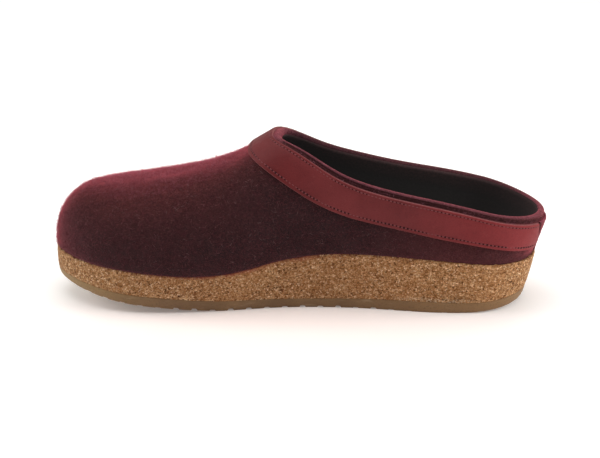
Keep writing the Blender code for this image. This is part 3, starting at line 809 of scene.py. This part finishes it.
def plain_material(name, colour, roughness, grain=900, depth=0.0002):
    """One colour with a fine grain of a darker one."""
    s = Shader(name)
    place = s.coords()
    fine = s.noise(place, grain, 3, 0.6)
    other = tuple(v * 0.55 for v in colour)
    return s.finish(
        s.mix(s.span(fine, 0.35, 0.65), other, colour), roughness,
        s.bump(fine, depth, 0.7), Specular_IOR_Level=0.2)


FELT_DARK = (0.0245, 0.0132, 0.0152)
FELT_LIGHT = (0.0340, 0.0175, 0.0200)
FELT_LIT_TOP = (0.057, 0.0115, 0.0110)
FELT_FIBRE = (0.125, 0.050, 0.050)
RIM_DARK = (0.062, 0.017, 0.025)
RIM_LIGHT = (0.092, 0.025, 0.038)

# Each felt's fourth colour is painted light on its top faces.
felt = felt_material("wool_felt", FELT_DARK, FELT_LIGHT, FELT_LIT_TOP, FELT_FIBRE, tucked=True)
rim_felt = felt_material("wool_rim", RIM_DARK, RIM_LIGHT, (0.150, 0.040, 0.052), (0.22, 0.090, 0.110),
                         sheen_share=0.35, groove=True)
strip_felt = felt_material("wool_strip", (0.135, 0.026, 0.042), (0.180, 0.038, 0.060),
                           (0.190, 0.040, 0.062), (0.30, 0.120, 0.150), sheen_share=0.5)
lining = lining_material()
insole_felt = plain_material("insole_felt", (0.070, 0.063, 0.060), 0.95, 600, 0.0004)
leather = leather_material()
leather_edge = leather_edge_material()
thread = thread_material()
cork = cork_material()
rubber = rubber_material()
# Painted shade: dark discs stand for the shade in the needle holes.
hole = plain_material("needle_hole_shade", (0.034, 0.006, 0.008), 0.9)


def wall(depth):
    """The felt's thickness at a depth below the rim."""
    return RIM + (FELT - RIM) * np.clip(depth / RIM_REACH, 0, 1)


def felt_lift(where, depth):
    """How the felt's outside swells over the cork, tucks in at its foot and dips by given hollows."""
    below = deep_at(where) - depth
    point = skin(where, depth, 0.0)
    u = -point[..., 0] / LENGTH
    swell = 0.0006 - 0.0004 * smooth(u, 0.80, 0.98)
    lift = swell * hump(below, 0.0050, 0.0042) - 0.0004 * hump(below, 0.0, 0.0009)
    fold = hump(point[..., 0], -0.172, 0.016) * hump(point[..., 2], 0.062, 0.012) * 0.0007
    fold = fold + hump(point[..., 0], -0.205, 0.020) * hump(point[..., 2], 0.045, 0.010) * 0.0004
    near_edge = smooth(below, 0.0, 0.006) * smooth(depth, BAND_BOTTOM, BAND_BOTTOM + 0.012)
    lift = lift - fold * near_edge
    lift = lift + waves(point, 0.030, 3, 2) * 0.00030 * near_edge
    lift = lift + waves(point, 0.0045, 5, 2) * 0.00006 * smooth(below, 0.0, 0.004)
    return lift


RIM_CHANNEL, RIM_INSIDE = 14, 142      # degrees over the rim from its outer edge
CHANNEL_SINK = 0.0009      # depth of the channel between the rim's roll and the leather
CHANNEL_STEP = 0.0007      # how much lower the felt lies beside it, outside
RIM_ROWS = 0.032           # share of the outside that has the rim's felt
ROW_POWER = 1.2            # rows stand denser at the rim
CHANNEL_ENDS = (0.512, 0.534)          # shares of the length over which it fades at the throat


def make_upper():
    """The felt shell: outside, foot, inside and rolled rim."""
    columns = np.arange(TOTAL, dtype=float)
    outer_rows, inner_rows, rim_steps = 84, 34, 18
    ring = []
    slots = []
    down, channel = [], []
    u = share_of(skin(columns, 0.0, 0.0))
    cut = 1 - smooth(u, *CHANNEL_ENDS)
    # Strength of the painted shade in the channel: weaker at the heel, gone at the throat.
    dark = cut * (0.60 + 0.40 * smooth(u, 0.10, 0.30))
    for share in np.linspace(0, 1, outer_rows) ** ROW_POWER:
        depth = share * DEEP
        down.append(depth)
        sunk = CHANNEL_STEP * cut * (1 - smooth(depth, BAND_TOP * 0.6, BAND_TOP * 1.2))
        ring.append(skin(columns, depth, felt_lift(columns, depth) - sunk))
        channel.append(dark * (1 - smooth(depth, BAND_TOP, BAND_TOP * 2)))
        slots.append(1 if share < RIM_ROWS else 0)
    foot = ring[-1]
    inward = -level(OUT[:, -1])
    foot_in = POINTS[:, -1] + inward * FELT
    ring.append(foot * 0.5 + foot_in * 0.5)
    ring.append(foot_in)
    slots += [0, 2]
    down += [DEEP, DEEP]
    channel += [DEEP * 0, DEEP * 0]
    for share in np.linspace(1, 0, inner_rows)[1:] ** ROW_POWER:
        depth = share * DEEP
        inner = skin(columns, depth, -wall(depth))
        outer = skin(columns, depth, 0.0)
        keep = np.clip((1 - share) / 0.15, 0, 1)
        ring.append((foot_in + outer - POINTS[:, -1]) * (1 - keep) + inner * keep)
        slots.append(2)
        down.append(depth)
        channel.append(depth * 0)
    top_out, top_in = skin(columns, 0.0, 0.0), ring[-1]
    middle, across = (top_out + top_in) / 2, (top_in - top_out) / 2
    up = unit(POINTS[:, 0] - skin(columns, 0.003, 0.0))
    reach = np.linalg.norm(across, axis=1)[:, None]
    # The roll is full on the inside and gives way to a channel beside the leather.
    for step in range(1, rim_steps):
        angle = math.pi * step / rim_steps
        turned = 180 - math.degrees(angle)
        round_out = middle + across * math.cos(angle) + up * reach * math.sin(angle)
        sink = CHANNEL_SINK * cut * hump(turned, RIM_CHANNEL, 24)
        ring.append(round_out - sink[:, None] * unit(round_out - middle))
        slots.append(2 if turned > RIM_INSIDE else 1)
        down.append(DEEP * 0)
        channel.append(dark * (1 - smooth(turned, RIM_CHANNEL + 12, RIM_CHANNEL + 34)))
    stack = np.stack(ring, 1)
    count = stack.shape[1]
    verts = stack.reshape(-1, 3)
    faces = tube_faces(TOTAL, count, True)
    face_slots = np.tile(np.array(slots), TOTAL)
    faces = turned_out(verts, faces.tolist())
    piece = mesh_piece("felt_upper", verts, faces, [felt, rim_felt, lining], face_slots)
    down = np.stack(down, 1)
    paint_points(piece, "down", down)
    # Where the rim's material paints shade in the channel.
    paint_points(piece, "channel", np.stack(channel, 1))
    paint_points(piece, "above", np.clip((DEEP[:, None] - down - 0.0012) / 0.0030, 0, 1))
    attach(piece, "root")
    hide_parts("upper")


def strip_half(share):
    """Half the strip's width at a share of its height."""
    return STRIP_HALF_TOP + (STRIP_HALF_BOTTOM - STRIP_HALF_TOP) * share


def where_at(depth, distance, side):
    """The column number that lies so far from the centre back, on one side."""
    numbers = np.arange(HEEL_COLUMNS * FINE)
    ys = np.abs(skin(numbers.astype(float) * -side, depth, 0.0)[:, 1])
    return np.interp(distance, ys, numbers) * -side


STRIP_DEEP = float(DEEP[0]) - STRIP_STOP
END_SHOWS = 0.0008         # the gap beside the strip, wider than between the solids
STRIP_EDGE = 0.0009        # of the strip and the band, over which their edges round off


def strip_share(depth):
    return (depth - STRIP_TOP) / (STRIP_DEEP - STRIP_TOP)


def make_heel_strip():
    rows, across_count = 60, 40
    depths = np.linspace(STRIP_TOP, STRIP_DEEP, rows)
    a = np.linspace(-1, 1, across_count)
    where = np.array([
        [where_at(depth, abs(v) * strip_half(strip_share(depth)), MEDIAL if v < 0 else LATERAL) for v in a]
        for depth in depths])
    depth = depths[:, None] + np.zeros_like(where)
    edge = np.minimum((1 - np.abs(a)) * STRIP_HALF_TOP, np.minimum(depth - STRIP_TOP, STRIP_DEEP - depth))
    full = STRIP_THICK + (STRIP_THIN - STRIP_THICK) * strip_share(depth)
    thick = full * (0.35 + 0.65 * quarter(edge / STRIP_EDGE, 2.0))
    point = skin(where, depth, 0.0)
    high = skin(where, depth, GAP + thick + waves(point, 0.006, 9, 2) * 0.00010)
    low = skin(where, depth, 0.0001)
    verts = np.concatenate([low, high[:, ::-1]], 1).reshape(-1, 3)
    count = across_count * 2
    faces = turned_out(verts, capped_tube(rows, count))
    piece = mesh_piece("back_strip", verts, faces, [strip_felt], sharp=60)
    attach(piece, "root")
    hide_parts("heel_strip")


def band_reach(depth):
    """Column numbers of the band's two ends at a depth."""
    half = strip_half(strip_share(depth)) + BAND_END_GAP + END_SHOWS
    return where_at(depth, half, MEDIAL), TOTAL + where_at(depth, half, LATERAL)


def band_width(where):
    """The band's height at a column."""
    return band_bottom(share_of(skin(where, 0.0, 0.0))) - BAND_TOP


BACK_WIDTH = float(band_width(0.0))
STITCH_IN = (0.0018, 0.0022)       # the rows of stitches, in from the band's upper and lower edge
STITCH_PITCH = 0.0021
STITCH_FILL = 0.66         # share of the pitch that the thread shows
STITCH_START = 0.0015      # from the band's end to its first needle hole
THREAD_WIDE, THREAD_HIGH = 0.00028, 0.00022    # half measures of a thread's bead
HOLE_SIZES = (0.00034, 0.00056)        # of the needle holes in the upper and the lower row
HOLE_SIDES = 8


def band_lift(from_top, from_foot):
    """The leather's top face: rounded edges and a groove under each stitch row."""
    edge = np.minimum(from_top, from_foot)
    lift = GAP + BAND_THICK * (0.45 + 0.55 * quarter(edge / STRIP_EDGE, 2.0))
    for distance, inset in zip((from_top, from_foot), STITCH_IN):
        lift = lift - 0.00012 * hump(distance, inset, 0.0008)
    return lift


def make_band():
    edge = np.linspace(0, STRIP_EDGE, 6)
    middle = np.linspace(0, 1, 30)[1:-1]
    share = np.concatenate([edge * 0, middle, edge * 0 + 1])
    offset = np.concatenate([edge, STRIP_EDGE * (1 - 2 * middle), -edge[::-1]])
    back = BAND_TOP + share * BACK_WIDTH + offset
    starts, ends = zip(*[band_reach(d) for d in back])
    starts, ends = np.array(starts), np.array(ends)
    steps = 760
    along = np.linspace(0, 1, steps)[:, None]
    where = starts + (ends - starts) * along
    width = band_width(where)
    from_top = share * width + offset
    depth = BAND_TOP + from_top
    point = skin(where, depth, 0.0)
    puff = waves(point, 0.011, 21, 2) * 0.00010
    high = skin(where, depth, band_lift(from_top, width - from_top) + puff)
    low = skin(where, depth, 0.00005)
    rings = np.concatenate([high, low[:, ::-1]], 1)
    count = rings.shape[1]
    verts = rings.reshape(-1, 3)
    top_count = len(share)
    k = np.tile(np.arange(count), steps - 1)
    slots = np.where((k < top_count - 2) & (k > 0), 0, 1).tolist() + [1, 1]
    faces = turned_out(verts, capped_tube(steps, count))
    piece = mesh_piece("leather_band", verts, faces, [leather, leather_edge], slots, sharp=50)
    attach(piece, "root")
    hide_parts("collar_band")


def make_stitches():
    """Two rows of lockstitch along the band: sunk beads of thread, with a dark disc of painted shade for
    each needle hole between.
    """
    around, along = 8, 7
    verts, faces = [], []
    hole_verts, hole_faces = [], []
    for number, inset in enumerate(STITCH_IN):
        back = BAND_TOP + (inset if number == 0 else BACK_WIDTH - inset)
        start, end = band_reach(back)
        where = np.linspace(start, end, 1600)
        width = band_width(where)
        row = BAND_TOP + (inset if number == 0 else width - inset) + 0 * width
        line = skin(where, row, 0.0)
        distance = lengths(line)
        count = int((distance[-1] - 2 * STITCH_START) / STITCH_PITCH)
        seat = float(band_lift(inset, 0.1))
        marks = STITCH_START + STITCH_PITCH * np.arange(count + 1)
        for middle in marks[:-1] + STITCH_PITCH / 2:
            span = np.linspace(-0.5, 0.5, along) * STITCH_PITCH * STITCH_FILL
            at = np.interp(middle + span, distance, where)
            low = np.interp(at, where, row) + rng.normal(0, 0.00007)
            base = skin(at, low, seat + 0.00002)
            up = unit(skin(at, low, 0.001) - skin(at, low, 0.0))
            side = unit(np.cross(up, np.gradient(base, axis=0)))
            shape = np.sqrt(np.clip(1 - (np.linspace(-1, 1, along)) ** 2, 0.0, 1)) * 0.9 + 0.1
            first = len(verts)
            for i in range(along):
                for j in range(around):
                    angle = 2 * math.pi * j / around
                    offset = side[i] * math.cos(angle) * THREAD_WIDE * shape[i]
                    offset = offset + up[i] * math.sin(angle) * THREAD_HIGH * shape[i]
                    verts.append(base[i] + offset)
            faces += capped_tube(along, around, first)
        for mark in marks:
            at = np.interp(mark, distance, where)
            low = np.interp(at, where, row)
            base = skin(at, low, seat + 0.00003)
            up = unit(skin(at, low, 0.001) - skin(at, low, 0.0))
            ahead = unit(skin(at + 0.3, low, 0.0) - skin(at, low, 0.0))
            side = np.cross(up, ahead)
            size = HOLE_SIZES[number] * rng.uniform(0.8, 1.15)
            first = len(hole_verts)
            hole_verts.append(base + up * 0.00002)
            for j in range(HOLE_SIDES):
                angle = 2 * math.pi * j / HOLE_SIDES
                hole_verts.append(base + (ahead * math.cos(angle) * 1.25 + side * math.sin(angle)) * size)
            rim = [first + 1 + j for j in range(HOLE_SIDES)]
            hole_faces += [[first, a, b] for a, b in zip(rim, rim[1:] + rim[:1])]
    piece = mesh_piece("band_stitches", verts, faces, [thread])
    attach(piece, "root")
    piece = mesh_piece("hole_shade_discs", hole_verts, hole_faces, [hole])
    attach(piece, "root")


def ladder_mesh(ring, rows, height, shift=None):
    """Points and faces that span a closed ring from each inner point to its partner."""
    ring = np.asarray(ring)
    count = len(ring)
    half = count // 2
    k = np.arange(1, half)
    a, b = ring[k], ring[(count - k) % count]
    across = np.linspace(-1, 1, rows + 1)[1:-1]
    mix = (across + 1) / 2
    inner = a[:, None] * (1 - mix)[None, :, None] + b[:, None] * mix[None, :, None]
    if shift is not None:
        inner[..., 0] += shift(across)[None, :] * np.clip(np.abs(b - a)[:, 1] / WAVE_FULL, 0, 1)[:, None]
    inner[..., 2] = height(inner, across[None, :] + np.zeros(inner.shape[:2]), k)

    def at(i, j):
        if i == 0 or i == half:
            return i
        if j == 0:
            return i
        if j == rows:
            return count - i
        return count + (i - 1) * (rows - 1) + j - 1

    faces = []
    for i in range(half):
        for j in range(rows):
            face = []
            for c in (at(i, j), at(i + 1, j), at(i + 1, j + 1), at(i, j + 1)):
                if c not in face:
                    face.append(c)
            if len(face) > 2:
                faces.append(face)
    return inner.reshape(-1, 3), faces


def slab_mesh(rings, rows, low, high, low_shift=None):
    """Closed solid: the side between the rings, with a ladder over the first and under the last."""
    rings = [np.asarray(r) for r in rings]
    count = len(rings[0])
    verts = np.concatenate(rings)
    faces = tube_faces(len(rings), count, False).tolist()
    for ring, start, height, flip, shift in (
            (rings[0], 0, high, False, None), (rings[-1], (len(rings) - 1) * count, low, True, low_shift)):
        inner, more = ladder_mesh(ring, rows, height, shift)
        base = len(verts) - count
        verts = np.concatenate([verts, inner])
        for face in more:
            ids = [start + i if i < count else base + i for i in face]
            faces.append(ids[::-1] if flip else ids)
    return verts, turned_out(verts, faces)


def bed_height(u, across):
    """The footbed's height: dished, and rising to its ends."""
    ends = quarter(u / BED_ROUND, 2) * quarter((1 - u) / BED_ROUND, 2)
    return edge_height(u, across) - GAP - cup_at(u) * (1 - np.abs(across) ** BED_POWER) * ends


CORK_WALL, DYE_REACH, GLUE_REACH = 18, 2.2, 2.4    # mm: the side wall, and what dye and glue cover of it


def make_cork():
    u = share_of(FEET)
    ledge = FEET - LEVEL * (FELT + GAP)
    ledge[:, 2] -= GAP
    edge = FEET.copy()
    ragged = waves(FEET, 0.0032, 31, 2) * 0.00034 + waves(FEET, 0.016, 33, 2) * 0.00016
    edge[:, 2] += ragged - 0.0001
    edge = edge + LEVEL * proud_at(u)[:, None]
    base = FEET - LEVEL * top_in_at(u)[:, None]
    base[:, 2] = sole_bottom(u) + rubber_at(u)
    rings = [ledge, edge - LEVEL * 0.0007]
    steps = 26
    for t in np.linspace(0, 1, steps):
        ring = edge * (1 - t) + base * t
        swell = 0.0003 * math.sin(math.pi * t) ** 0.7 - 0.0004 * hump(t, 0.0, 0.02)
        grain = waves(ring, 0.0030, 35, 2) * 0.00010 * min(1.0, t * 6 + 0.3)
        rings.append(ring + LEVEL * (swell + grain)[:, None])
    verts, faces = slab_mesh(
        rings, 14,
        lambda p, a, k: sole_bottom(share_of(p)) + rubber_at(share_of(p)),
        lambda p, a, k: bed_height(share_of(p), a))
    piece = mesh_piece("cork_block", verts, faces, [cork], sharp=50)
    near, low = np.zeros(len(verts)), np.zeros(len(verts))
    for i in range(len(rings)):
        t = max(0.0, (i - 2) / (steps - 1))
        near[i * TOTAL:(i + 1) * TOTAL] = max(0.0, 1 - t * CORK_WALL / DYE_REACH)
        low[i * TOTAL:(i + 1) * TOTAL] = max(0.0, 1 - (1 - t) * CORK_WALL / GLUE_REACH)
    paint_points(piece, "near_felt", near)
    paint_points(piece, "near_rubber", low)
    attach(piece, "root")
    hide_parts("cork_midsole")


def make_insole():
    inset = FELT + GAP + SEAT_GAP
    low = FEET - LEVEL * inset
    high = low + np.array([0, 0, INSOLE_EDGE])

    def under(p, a, k):
        return bed_height(share_of(p), a) + GAP

    def over(p, a, k):
        thick = INSOLE_EDGE + (INSOLE - INSOLE_EDGE) * (1 - a ** INSOLE_POWER)
        return under(p, a, k) + thick

    verts, faces = slab_mesh([high, low], 16, under, over)
    piece = mesh_piece("foot_bed", verts, faces, [insole_felt])
    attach(piece, "root")
    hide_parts("insole")


def tread_profile():
    """Stations along the sole as shares of its length, how far each is cut, and its notch at the side."""
    half = GROOVE_WIDTH / 2
    slope = ((half * 0.5, 1.0), (half, 0.85), (half + GROOVE_SLOPE * 0.5, 0.35), (half + GROOVE_SLOPE, 0.0))
    shape = [(-offset, cut) for offset, cut in slope[::-1]] + list(slope)
    stations = [(share, 0.0, 0.0) for share in (0.0, 0.004, 0.012, 0.03, 0.045, 0.06)]
    run = LENGTH - GROOVE_START - GROOVE_END
    count = round(run / GROOVE_PITCH)
    pitch = run / count
    worn = np.random.default_rng(4)
    for k in range(count + 1):
        centre = GROOVE_START + k * pitch
        # Uneven notches, worn down under the heel and the toe.
        notch = worn.uniform(0.25, 1.1) * (0.12 + 0.88 * smooth(centre, 0.055, 0.100))
        notch *= 1 - 0.6 * smooth(centre, 0.185, 0.225)
        stations += [((centre + offset) / LENGTH, cut, cut * notch) for offset, cut in shape]
        if k < count:
            stations += [((centre + pitch * share) / LENGTH, 0.0, 0.0) for share in (0.36, 0.5, 0.64)]
    stations += [(share, 0.0, 0.0) for share in (0.982, 0.991, 0.997, 1.0)]
    return np.array(stations)


def make_outsole():
    shares, cuts, notches = tread_profile().T
    sides = {}
    for side in (MEDIAL, LATERAL):
        n = np.arange(HALF + 1) if side < 0 else (TOTAL - np.arange(HALF + 1)) % TOTAL
        sides[side] = FEET[n], LEVEL[n]

    def ring(down, lift, cut, rounding=0.0):
        """Down from 0 at the rubber's top to 1 at its foot; lift above the underside."""
        halves = []
        for side in (MEDIAL, LATERAL):
            feet, ways = sides[side]
            u = share_of(feet)
            inset = top_in_at(u) * (1 - down) + foot_in_at(u) * down + rounding
            path = feet - ways * inset[:, None]
            x = path[0, 0] + (path[-1, 0] - path[0, 0]) * shares
            y = np.interp(-x, -path[:, 0], path[:, 1])
            points = np.stack([x, y, np.zeros_like(x)], 1)
            u = share_of(points)
            height = lift if down > 0.9 else (rubber_at(u) - GAP) * (1 - down) - lift
            points[:, 2] = sole_bottom(u) + height + notches * GROOVE_EDGE * cut
            halves.append(points)
        return np.concatenate([halves[0], halves[1][1:-1][::-1]])

    rings = [ring(0.0, -0.0002, 0.0, 0.0001), ring(0.0, 0.0, 0.0)]
    rings += [ring(down, 0.0, 0.12 * down) for down in (0.15, 0.3, 0.45, 0.6)]
    rings.append(ring(0.97, 0.0016, 0.45))
    rings.append(ring(0.99, 0.0006, 0.90, 0.0001))
    rings.append(ring(1.0, 0.0, 1.0, 0.0005))
    verts, faces = slab_mesh(
        rings, 24,
        lambda p, a, k: sole_bottom(share_of(p)) + cuts[k][:, None] * GROOVE_DEPTH,
        lambda p, a, k: sole_bottom(share_of(p)) + rubber_at(share_of(p)) - GAP,
        lambda a: GROOVE_WAVE * np.sin(math.pi * (a + 1)))
    piece = mesh_piece("tread_sole", verts, faces, [rubber], sharp=45)
    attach(piece, "root")
    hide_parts("outsole")


def cell_areas():
    """Area of each cell of the form."""
    a = np.roll(POINTS, -1, 0) - POINTS
    b = np.diff(POINTS, axis=1)
    return np.linalg.norm(np.cross(a[:, :-1], b), axis=-1)


def fibre_ribbons(name, roots, normals, length, lift, width, materials, slots):
    """Tapered ribbons of three triangles, lying over the felt and curling off it."""
    count = len(roots)
    side = unit(np.cross(normals, rng.normal(size=(count, 3))))
    other = np.cross(normals, side)
    turn = rng.uniform(-1.5, 1.5, count)[:, None]
    bent = unit(side * np.cos(turn) + other * np.sin(turn))
    length = length[:, None]
    lift = lift[:, None]
    middle = roots + side * length * 0.5 + normals * lift * 0.75
    tip = middle + bent * length * 0.5 + normals * lift * rng.uniform(-0.3, 0.6, count)[:, None]
    base = roots - normals * 0.00005
    flat = unit(np.cross(side, normals + rng.normal(size=(count, 3)) * 0.8))
    half = width[:, None] / 2
    wide = flat * half
    verts = np.stack([base - wide, base + wide, middle + wide, middle - wide, tip], 1)
    start = np.arange(count)[:, None] * 5
    quads = (start + np.array([0, 1, 2, 3])).tolist()
    tips = (start + np.array([3, 2, 4])).tolist()
    piece = mesh_piece(name, verts.reshape(-1, 3), quads + tips, materials, np.concatenate([slots, slots]))
    ways = piece.data.attributes.new("wall_normal", "FLOAT_VECTOR", "POINT")
    ways.data.foreach_set("vector", np.repeat(normals, 5, axis=0).ravel().astype(np.float32))
    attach(piece, "root")


def fibre_material(name, stops, lit=0.0, edge=1.0):
    """Wool fibres in several shades, with painted sheen where the wall turns away, and a painted glow as
    strong as lit.
    """
    s = Shader(name)
    pick = s.node("ShaderNodeNewGeometry").outputs["Random Per Island"]
    colour = s.ramp(pick, stops)
    # The wall's own normal, as a fibre's says nothing about where the upper turns away.
    graze = s.graze(4.8, s.painted("wall_normal", "Vector"))
    colour = s.mix(s.product(graze, edge), colour, (0.78, 0.190, 0.250))
    return s.finish(
        colour, 0.85, Specular_IOR_Level=0.15, Sheen_Weight=0.3, Sheen_Roughness=0.4,
        Sheen_Tint=(0.85, 0.35, 0.42), Emission_Color=colour, Emission_Strength=lit)


FRINGE_LIT = 0.10          # stands in for light that comes through the thin fibres
FIBRES, FRINGE_FIBRES = 62000, 9000
FAR_SIDE = 0.012           # beyond it the rim's fibres are darker, painted shade on the far rim
STRIP_COLUMNS = 14         # that the heel strip may cover, on each side of the centre back
BARE_ABOVE, BARE_BELOW = 0.0004, 0.0002        # without fibres beside the leather
FRINGE_UP, FRINGE_FRONT = 0.90, -0.88          # normals' z on the ridge, and x at the toe's front
FRINGE_FROM, FRINGE_TO = 0.3, 0.7              # shares of the columns, round the toe


def fibre_sizes(count, long, high, wide):
    """Random lengths and lifts, each by shape, scale and least value, and widths from a range."""
    length = rng.gamma(*long[:2], count) + long[2]
    lift = rng.gamma(*high[:2], count) + high[2]
    return length, lift, rng.uniform(*wide, count)


def make_fuzz():
    """Fibres over all the felt that shows, then a fringe with painted light, paler and glowing, along the
    ridge and the toe's front.
    """
    area = cell_areas()
    cells = rng.choice(area.size, FIBRES, p=(area / area.sum(0).sum()).ravel())
    column_number = cells // area.shape[1] + rng.uniform(0, 1, FIBRES)
    row = (cells % area.shape[1] + rng.uniform(0, 1, FIBRES)) / (FORM_ROWS - 1)
    depth = row * deep_at(column_number)
    from_back = np.minimum(column_number, TOTAL - column_number)
    strip = (from_back < STRIP_COLUMNS) & (depth < STRIP_DEEP) & (depth > STRIP_TOP)
    foot = band_bottom(share_of(skin(column_number, 0.0, 0.0)))
    band = (depth > BAND_TOP - BARE_ABOVE) & (depth < foot + BARE_BELOW)
    keep = ~(strip | band)
    column_number, depth = column_number[keep], depth[keep]
    lift0 = felt_lift(column_number, depth)
    roots = skin(column_number, depth, lift0)
    normals = unit(skin(column_number, depth, lift0 + 0.001) - roots)
    length, lift, width = fibre_sizes(
        len(roots), (4.0, 0.00046, 0.0005), (1.8, 0.00032, 0.00005), (0.000050, 0.000105))
    slots = np.where(depth < BAND_TOP, np.where(roots[:, 1] < FAR_SIDE, 1, 2), 0)
    wool = fibre_material("wool_fibres", [
        (0.0, (0.042, 0.012, 0.015)), (0.60, (0.075, 0.017, 0.023)), (0.88, (0.130, 0.030, 0.040)),
        (0.97, (0.19, 0.08, 0.085)), (1.0, (0.26, 0.17, 0.17))])
    rim_wool = fibre_material("rim_fibres", [
        (0.0, (0.085, 0.022, 0.036)), (0.7, (0.150, 0.045, 0.070)), (1.0, (0.26, 0.12, 0.15))], edge=0.0)
    # Painted shade: a darker copy of the rim's fibres for the far side.
    far_shaded_wool = fibre_material("far_rim_fibres_shaded", [
        (0.0, (0.034, 0.012, 0.015)), (0.7, (0.070, 0.024, 0.030)), (1.0, (0.150, 0.070, 0.080))], edge=0.0)
    fibre_ribbons("felt_fibres", roots, normals, length, lift, width, [wool, rim_wool, far_shaded_wool], slots)
    fringe = ((normals[:, 2] > FRINGE_UP) | (normals[:, 0] < FRINGE_FRONT)) & (depth > BAND_TOP)
    fringe &= (column_number > FRINGE_FROM * TOTAL) & (column_number < FRINGE_TO * TOTAL)
    chosen = rng.choice(np.where(fringe)[0], FRINGE_FIBRES)
    shift = level(rng.normal(size=(FRINGE_FIBRES, 3))) * 0.0006
    shift -= normals[chosen] * np.sum(shift * normals[chosen], axis=1, keepdims=True)
    # Painted light: paler fibres that glow, along the lit ridge and the toe's front.
    lit_fringe_wool = fibre_material("lit_fringe_fibres", [
        (0.0, (0.12, 0.024, 0.034)), (0.6, (0.20, 0.045, 0.060)), (1.0, (0.32, 0.12, 0.14))], FRINGE_LIT)
    sizes = fibre_sizes(FRINGE_FIBRES, (4.0, 0.00035, 0.0004), (2.2, 0.00030, 0.0001), (0.00006, 0.00011))
    slots = np.zeros(FRINGE_FIBRES, dtype=int)
    fibre_ribbons("lit_felt_fringe", roots[chosen] + shift, normals[chosen], *sizes, [lit_fringe_wool], slots)


WORLD_POWER, FRONT_DIM = 0.56, 0.12
PAPER_GLOW = 0.19          # the paper lies on a light table
OVAL_HALF, OVAL_AHEAD = (0.19, 0.095), 0.09    # half the pink oval's measures, and its place in -y


def make_stage():
    bpy.ops.mesh.primitive_plane_add(size=12, location=(0, 0, 0))
    floor = bpy.context.object
    floor.name = "floor"
    s = Shader("floor_paper")
    place = s.coords()
    fine = s.noise(place, 30, 3, 0.5)
    colour = s.mix(fine, (0.90, 0.885, 0.875), (0.92, 0.91, 0.90))
    # A pink oval on the paper before the shoe, from light that the felt throws back.
    x, y, _ = s.split(place)
    along = s.maths("DIVIDE", x, OVAL_HALF[0])
    out = s.maths("DIVIDE", s.maths("ADD", y, OVAL_AHEAD), OVAL_HALF[1])
    pink = s.span(s.maths("ADD", s.product(along, along), s.product(out, out)), 1.0, 0.15)
    colour = s.times(pink, colour, (0.93, 0.84, 0.81))
    glow = s.mix(pink, (1.0, 0.985, 0.97), (0.95, 0.85, 0.81))
    floor.data.materials.append(s.finish(
        colour, 0.85, Specular_IOR_Level=0.1, Emission_Color=glow, Emission_Strength=PAPER_GLOW))


def light(name, place, target, size, power, colour=(1, 1, 1)):
    """A rectangular lamp that looks at its target."""
    data = bpy.data.lights.new(name, "AREA")
    data.shape = "RECTANGLE"
    data.size, data.size_y = size
    data.energy = power
    data.color = colour
    made = bpy.data.objects.new(name, data)
    bpy.context.scene.collection.objects.link(made)
    made.location = place
    made.rotation_euler = (Vector(target) - Vector(place)).to_track_quat("-Z", "Y").to_euler()


def make_lights():
    """A pale studio: bright above, behind and at both sides, dim on the viewer's side."""
    world = bpy.data.worlds.new("studio")
    bpy.context.scene.world = world
    s = Shader("studio", world)
    ahead = s.split(s.node("ShaderNodeTexCoord").outputs["Generated"])[1]
    bright = s.product(s.span(ahead, -0.75, 0.15, FRONT_DIM), WORLD_POWER)
    s.fed(s.main, Color=(1.0, 0.99, 0.975), Strength=bright)
    light("key", (-0.10, 0.0, 1.35), (0, 0, 0.03), (1.5, 1.3), 12.5, (1.0, 0.99, 0.97))
    light("left", (-1.25, -0.05, 0.62), (0, 0, 0.05), (0.8, 0.7), 8.5)
    light("right", (1.25, -0.10, 0.62), (0, 0, 0.05), (0.8, 0.7), 10.0)


# The photograph's camera, from matching the outline: azimuth and elevation in degrees, metres.
CAMERA_AZIMUTH, CAMERA_ELEVATION, CAMERA_DISTANCE = 4.5, 20.0, 0.85
CAMERA_TARGET = (-0.133, 0.0, 0.045)
PIXELS_PER_MM, IMAGE_WIDTH, IMAGE_HEIGHT = 1.74, 600, 458
TARGET_PIXEL = (301.0, 215.0)


def make_camera():
    data = bpy.data.cameras.new("camera")
    data.sensor_width = 36.0
    data.sensor_fit = "HORIZONTAL"
    focal = PIXELS_PER_MM * CAMERA_DISTANCE * 1000
    data.lens = focal * data.sensor_width / IMAGE_WIDTH
    data.shift_x = (IMAGE_WIDTH / 2 - TARGET_PIXEL[0]) / IMAGE_WIDTH
    data.shift_y = -(IMAGE_HEIGHT / 2 - TARGET_PIXEL[1]) / IMAGE_WIDTH
    camera = bpy.data.objects.new("camera", data)
    bpy.context.scene.collection.objects.link(camera)
    a, e = math.radians(CAMERA_AZIMUTH), math.radians(CAMERA_ELEVATION)
    back = Vector((math.sin(a) * math.cos(e), -math.cos(a) * math.cos(e), math.sin(e)))
    target = Vector(CAMERA_TARGET) + Vector(SHIFT)
    camera.location = target + back * CAMERA_DISTANCE
    camera.rotation_euler = (-back).to_track_quat("-Z", "Y").to_euler()
    bpy.context.scene.camera = camera


make_outsole()
make_cork()
make_insole()
make_upper()
make_heel_strip()
make_band()
make_stitches()
make_fuzz()
make_stage()
make_lights()
make_camera()
bpy.context.scene.view_settings.view_transform = "Standard"
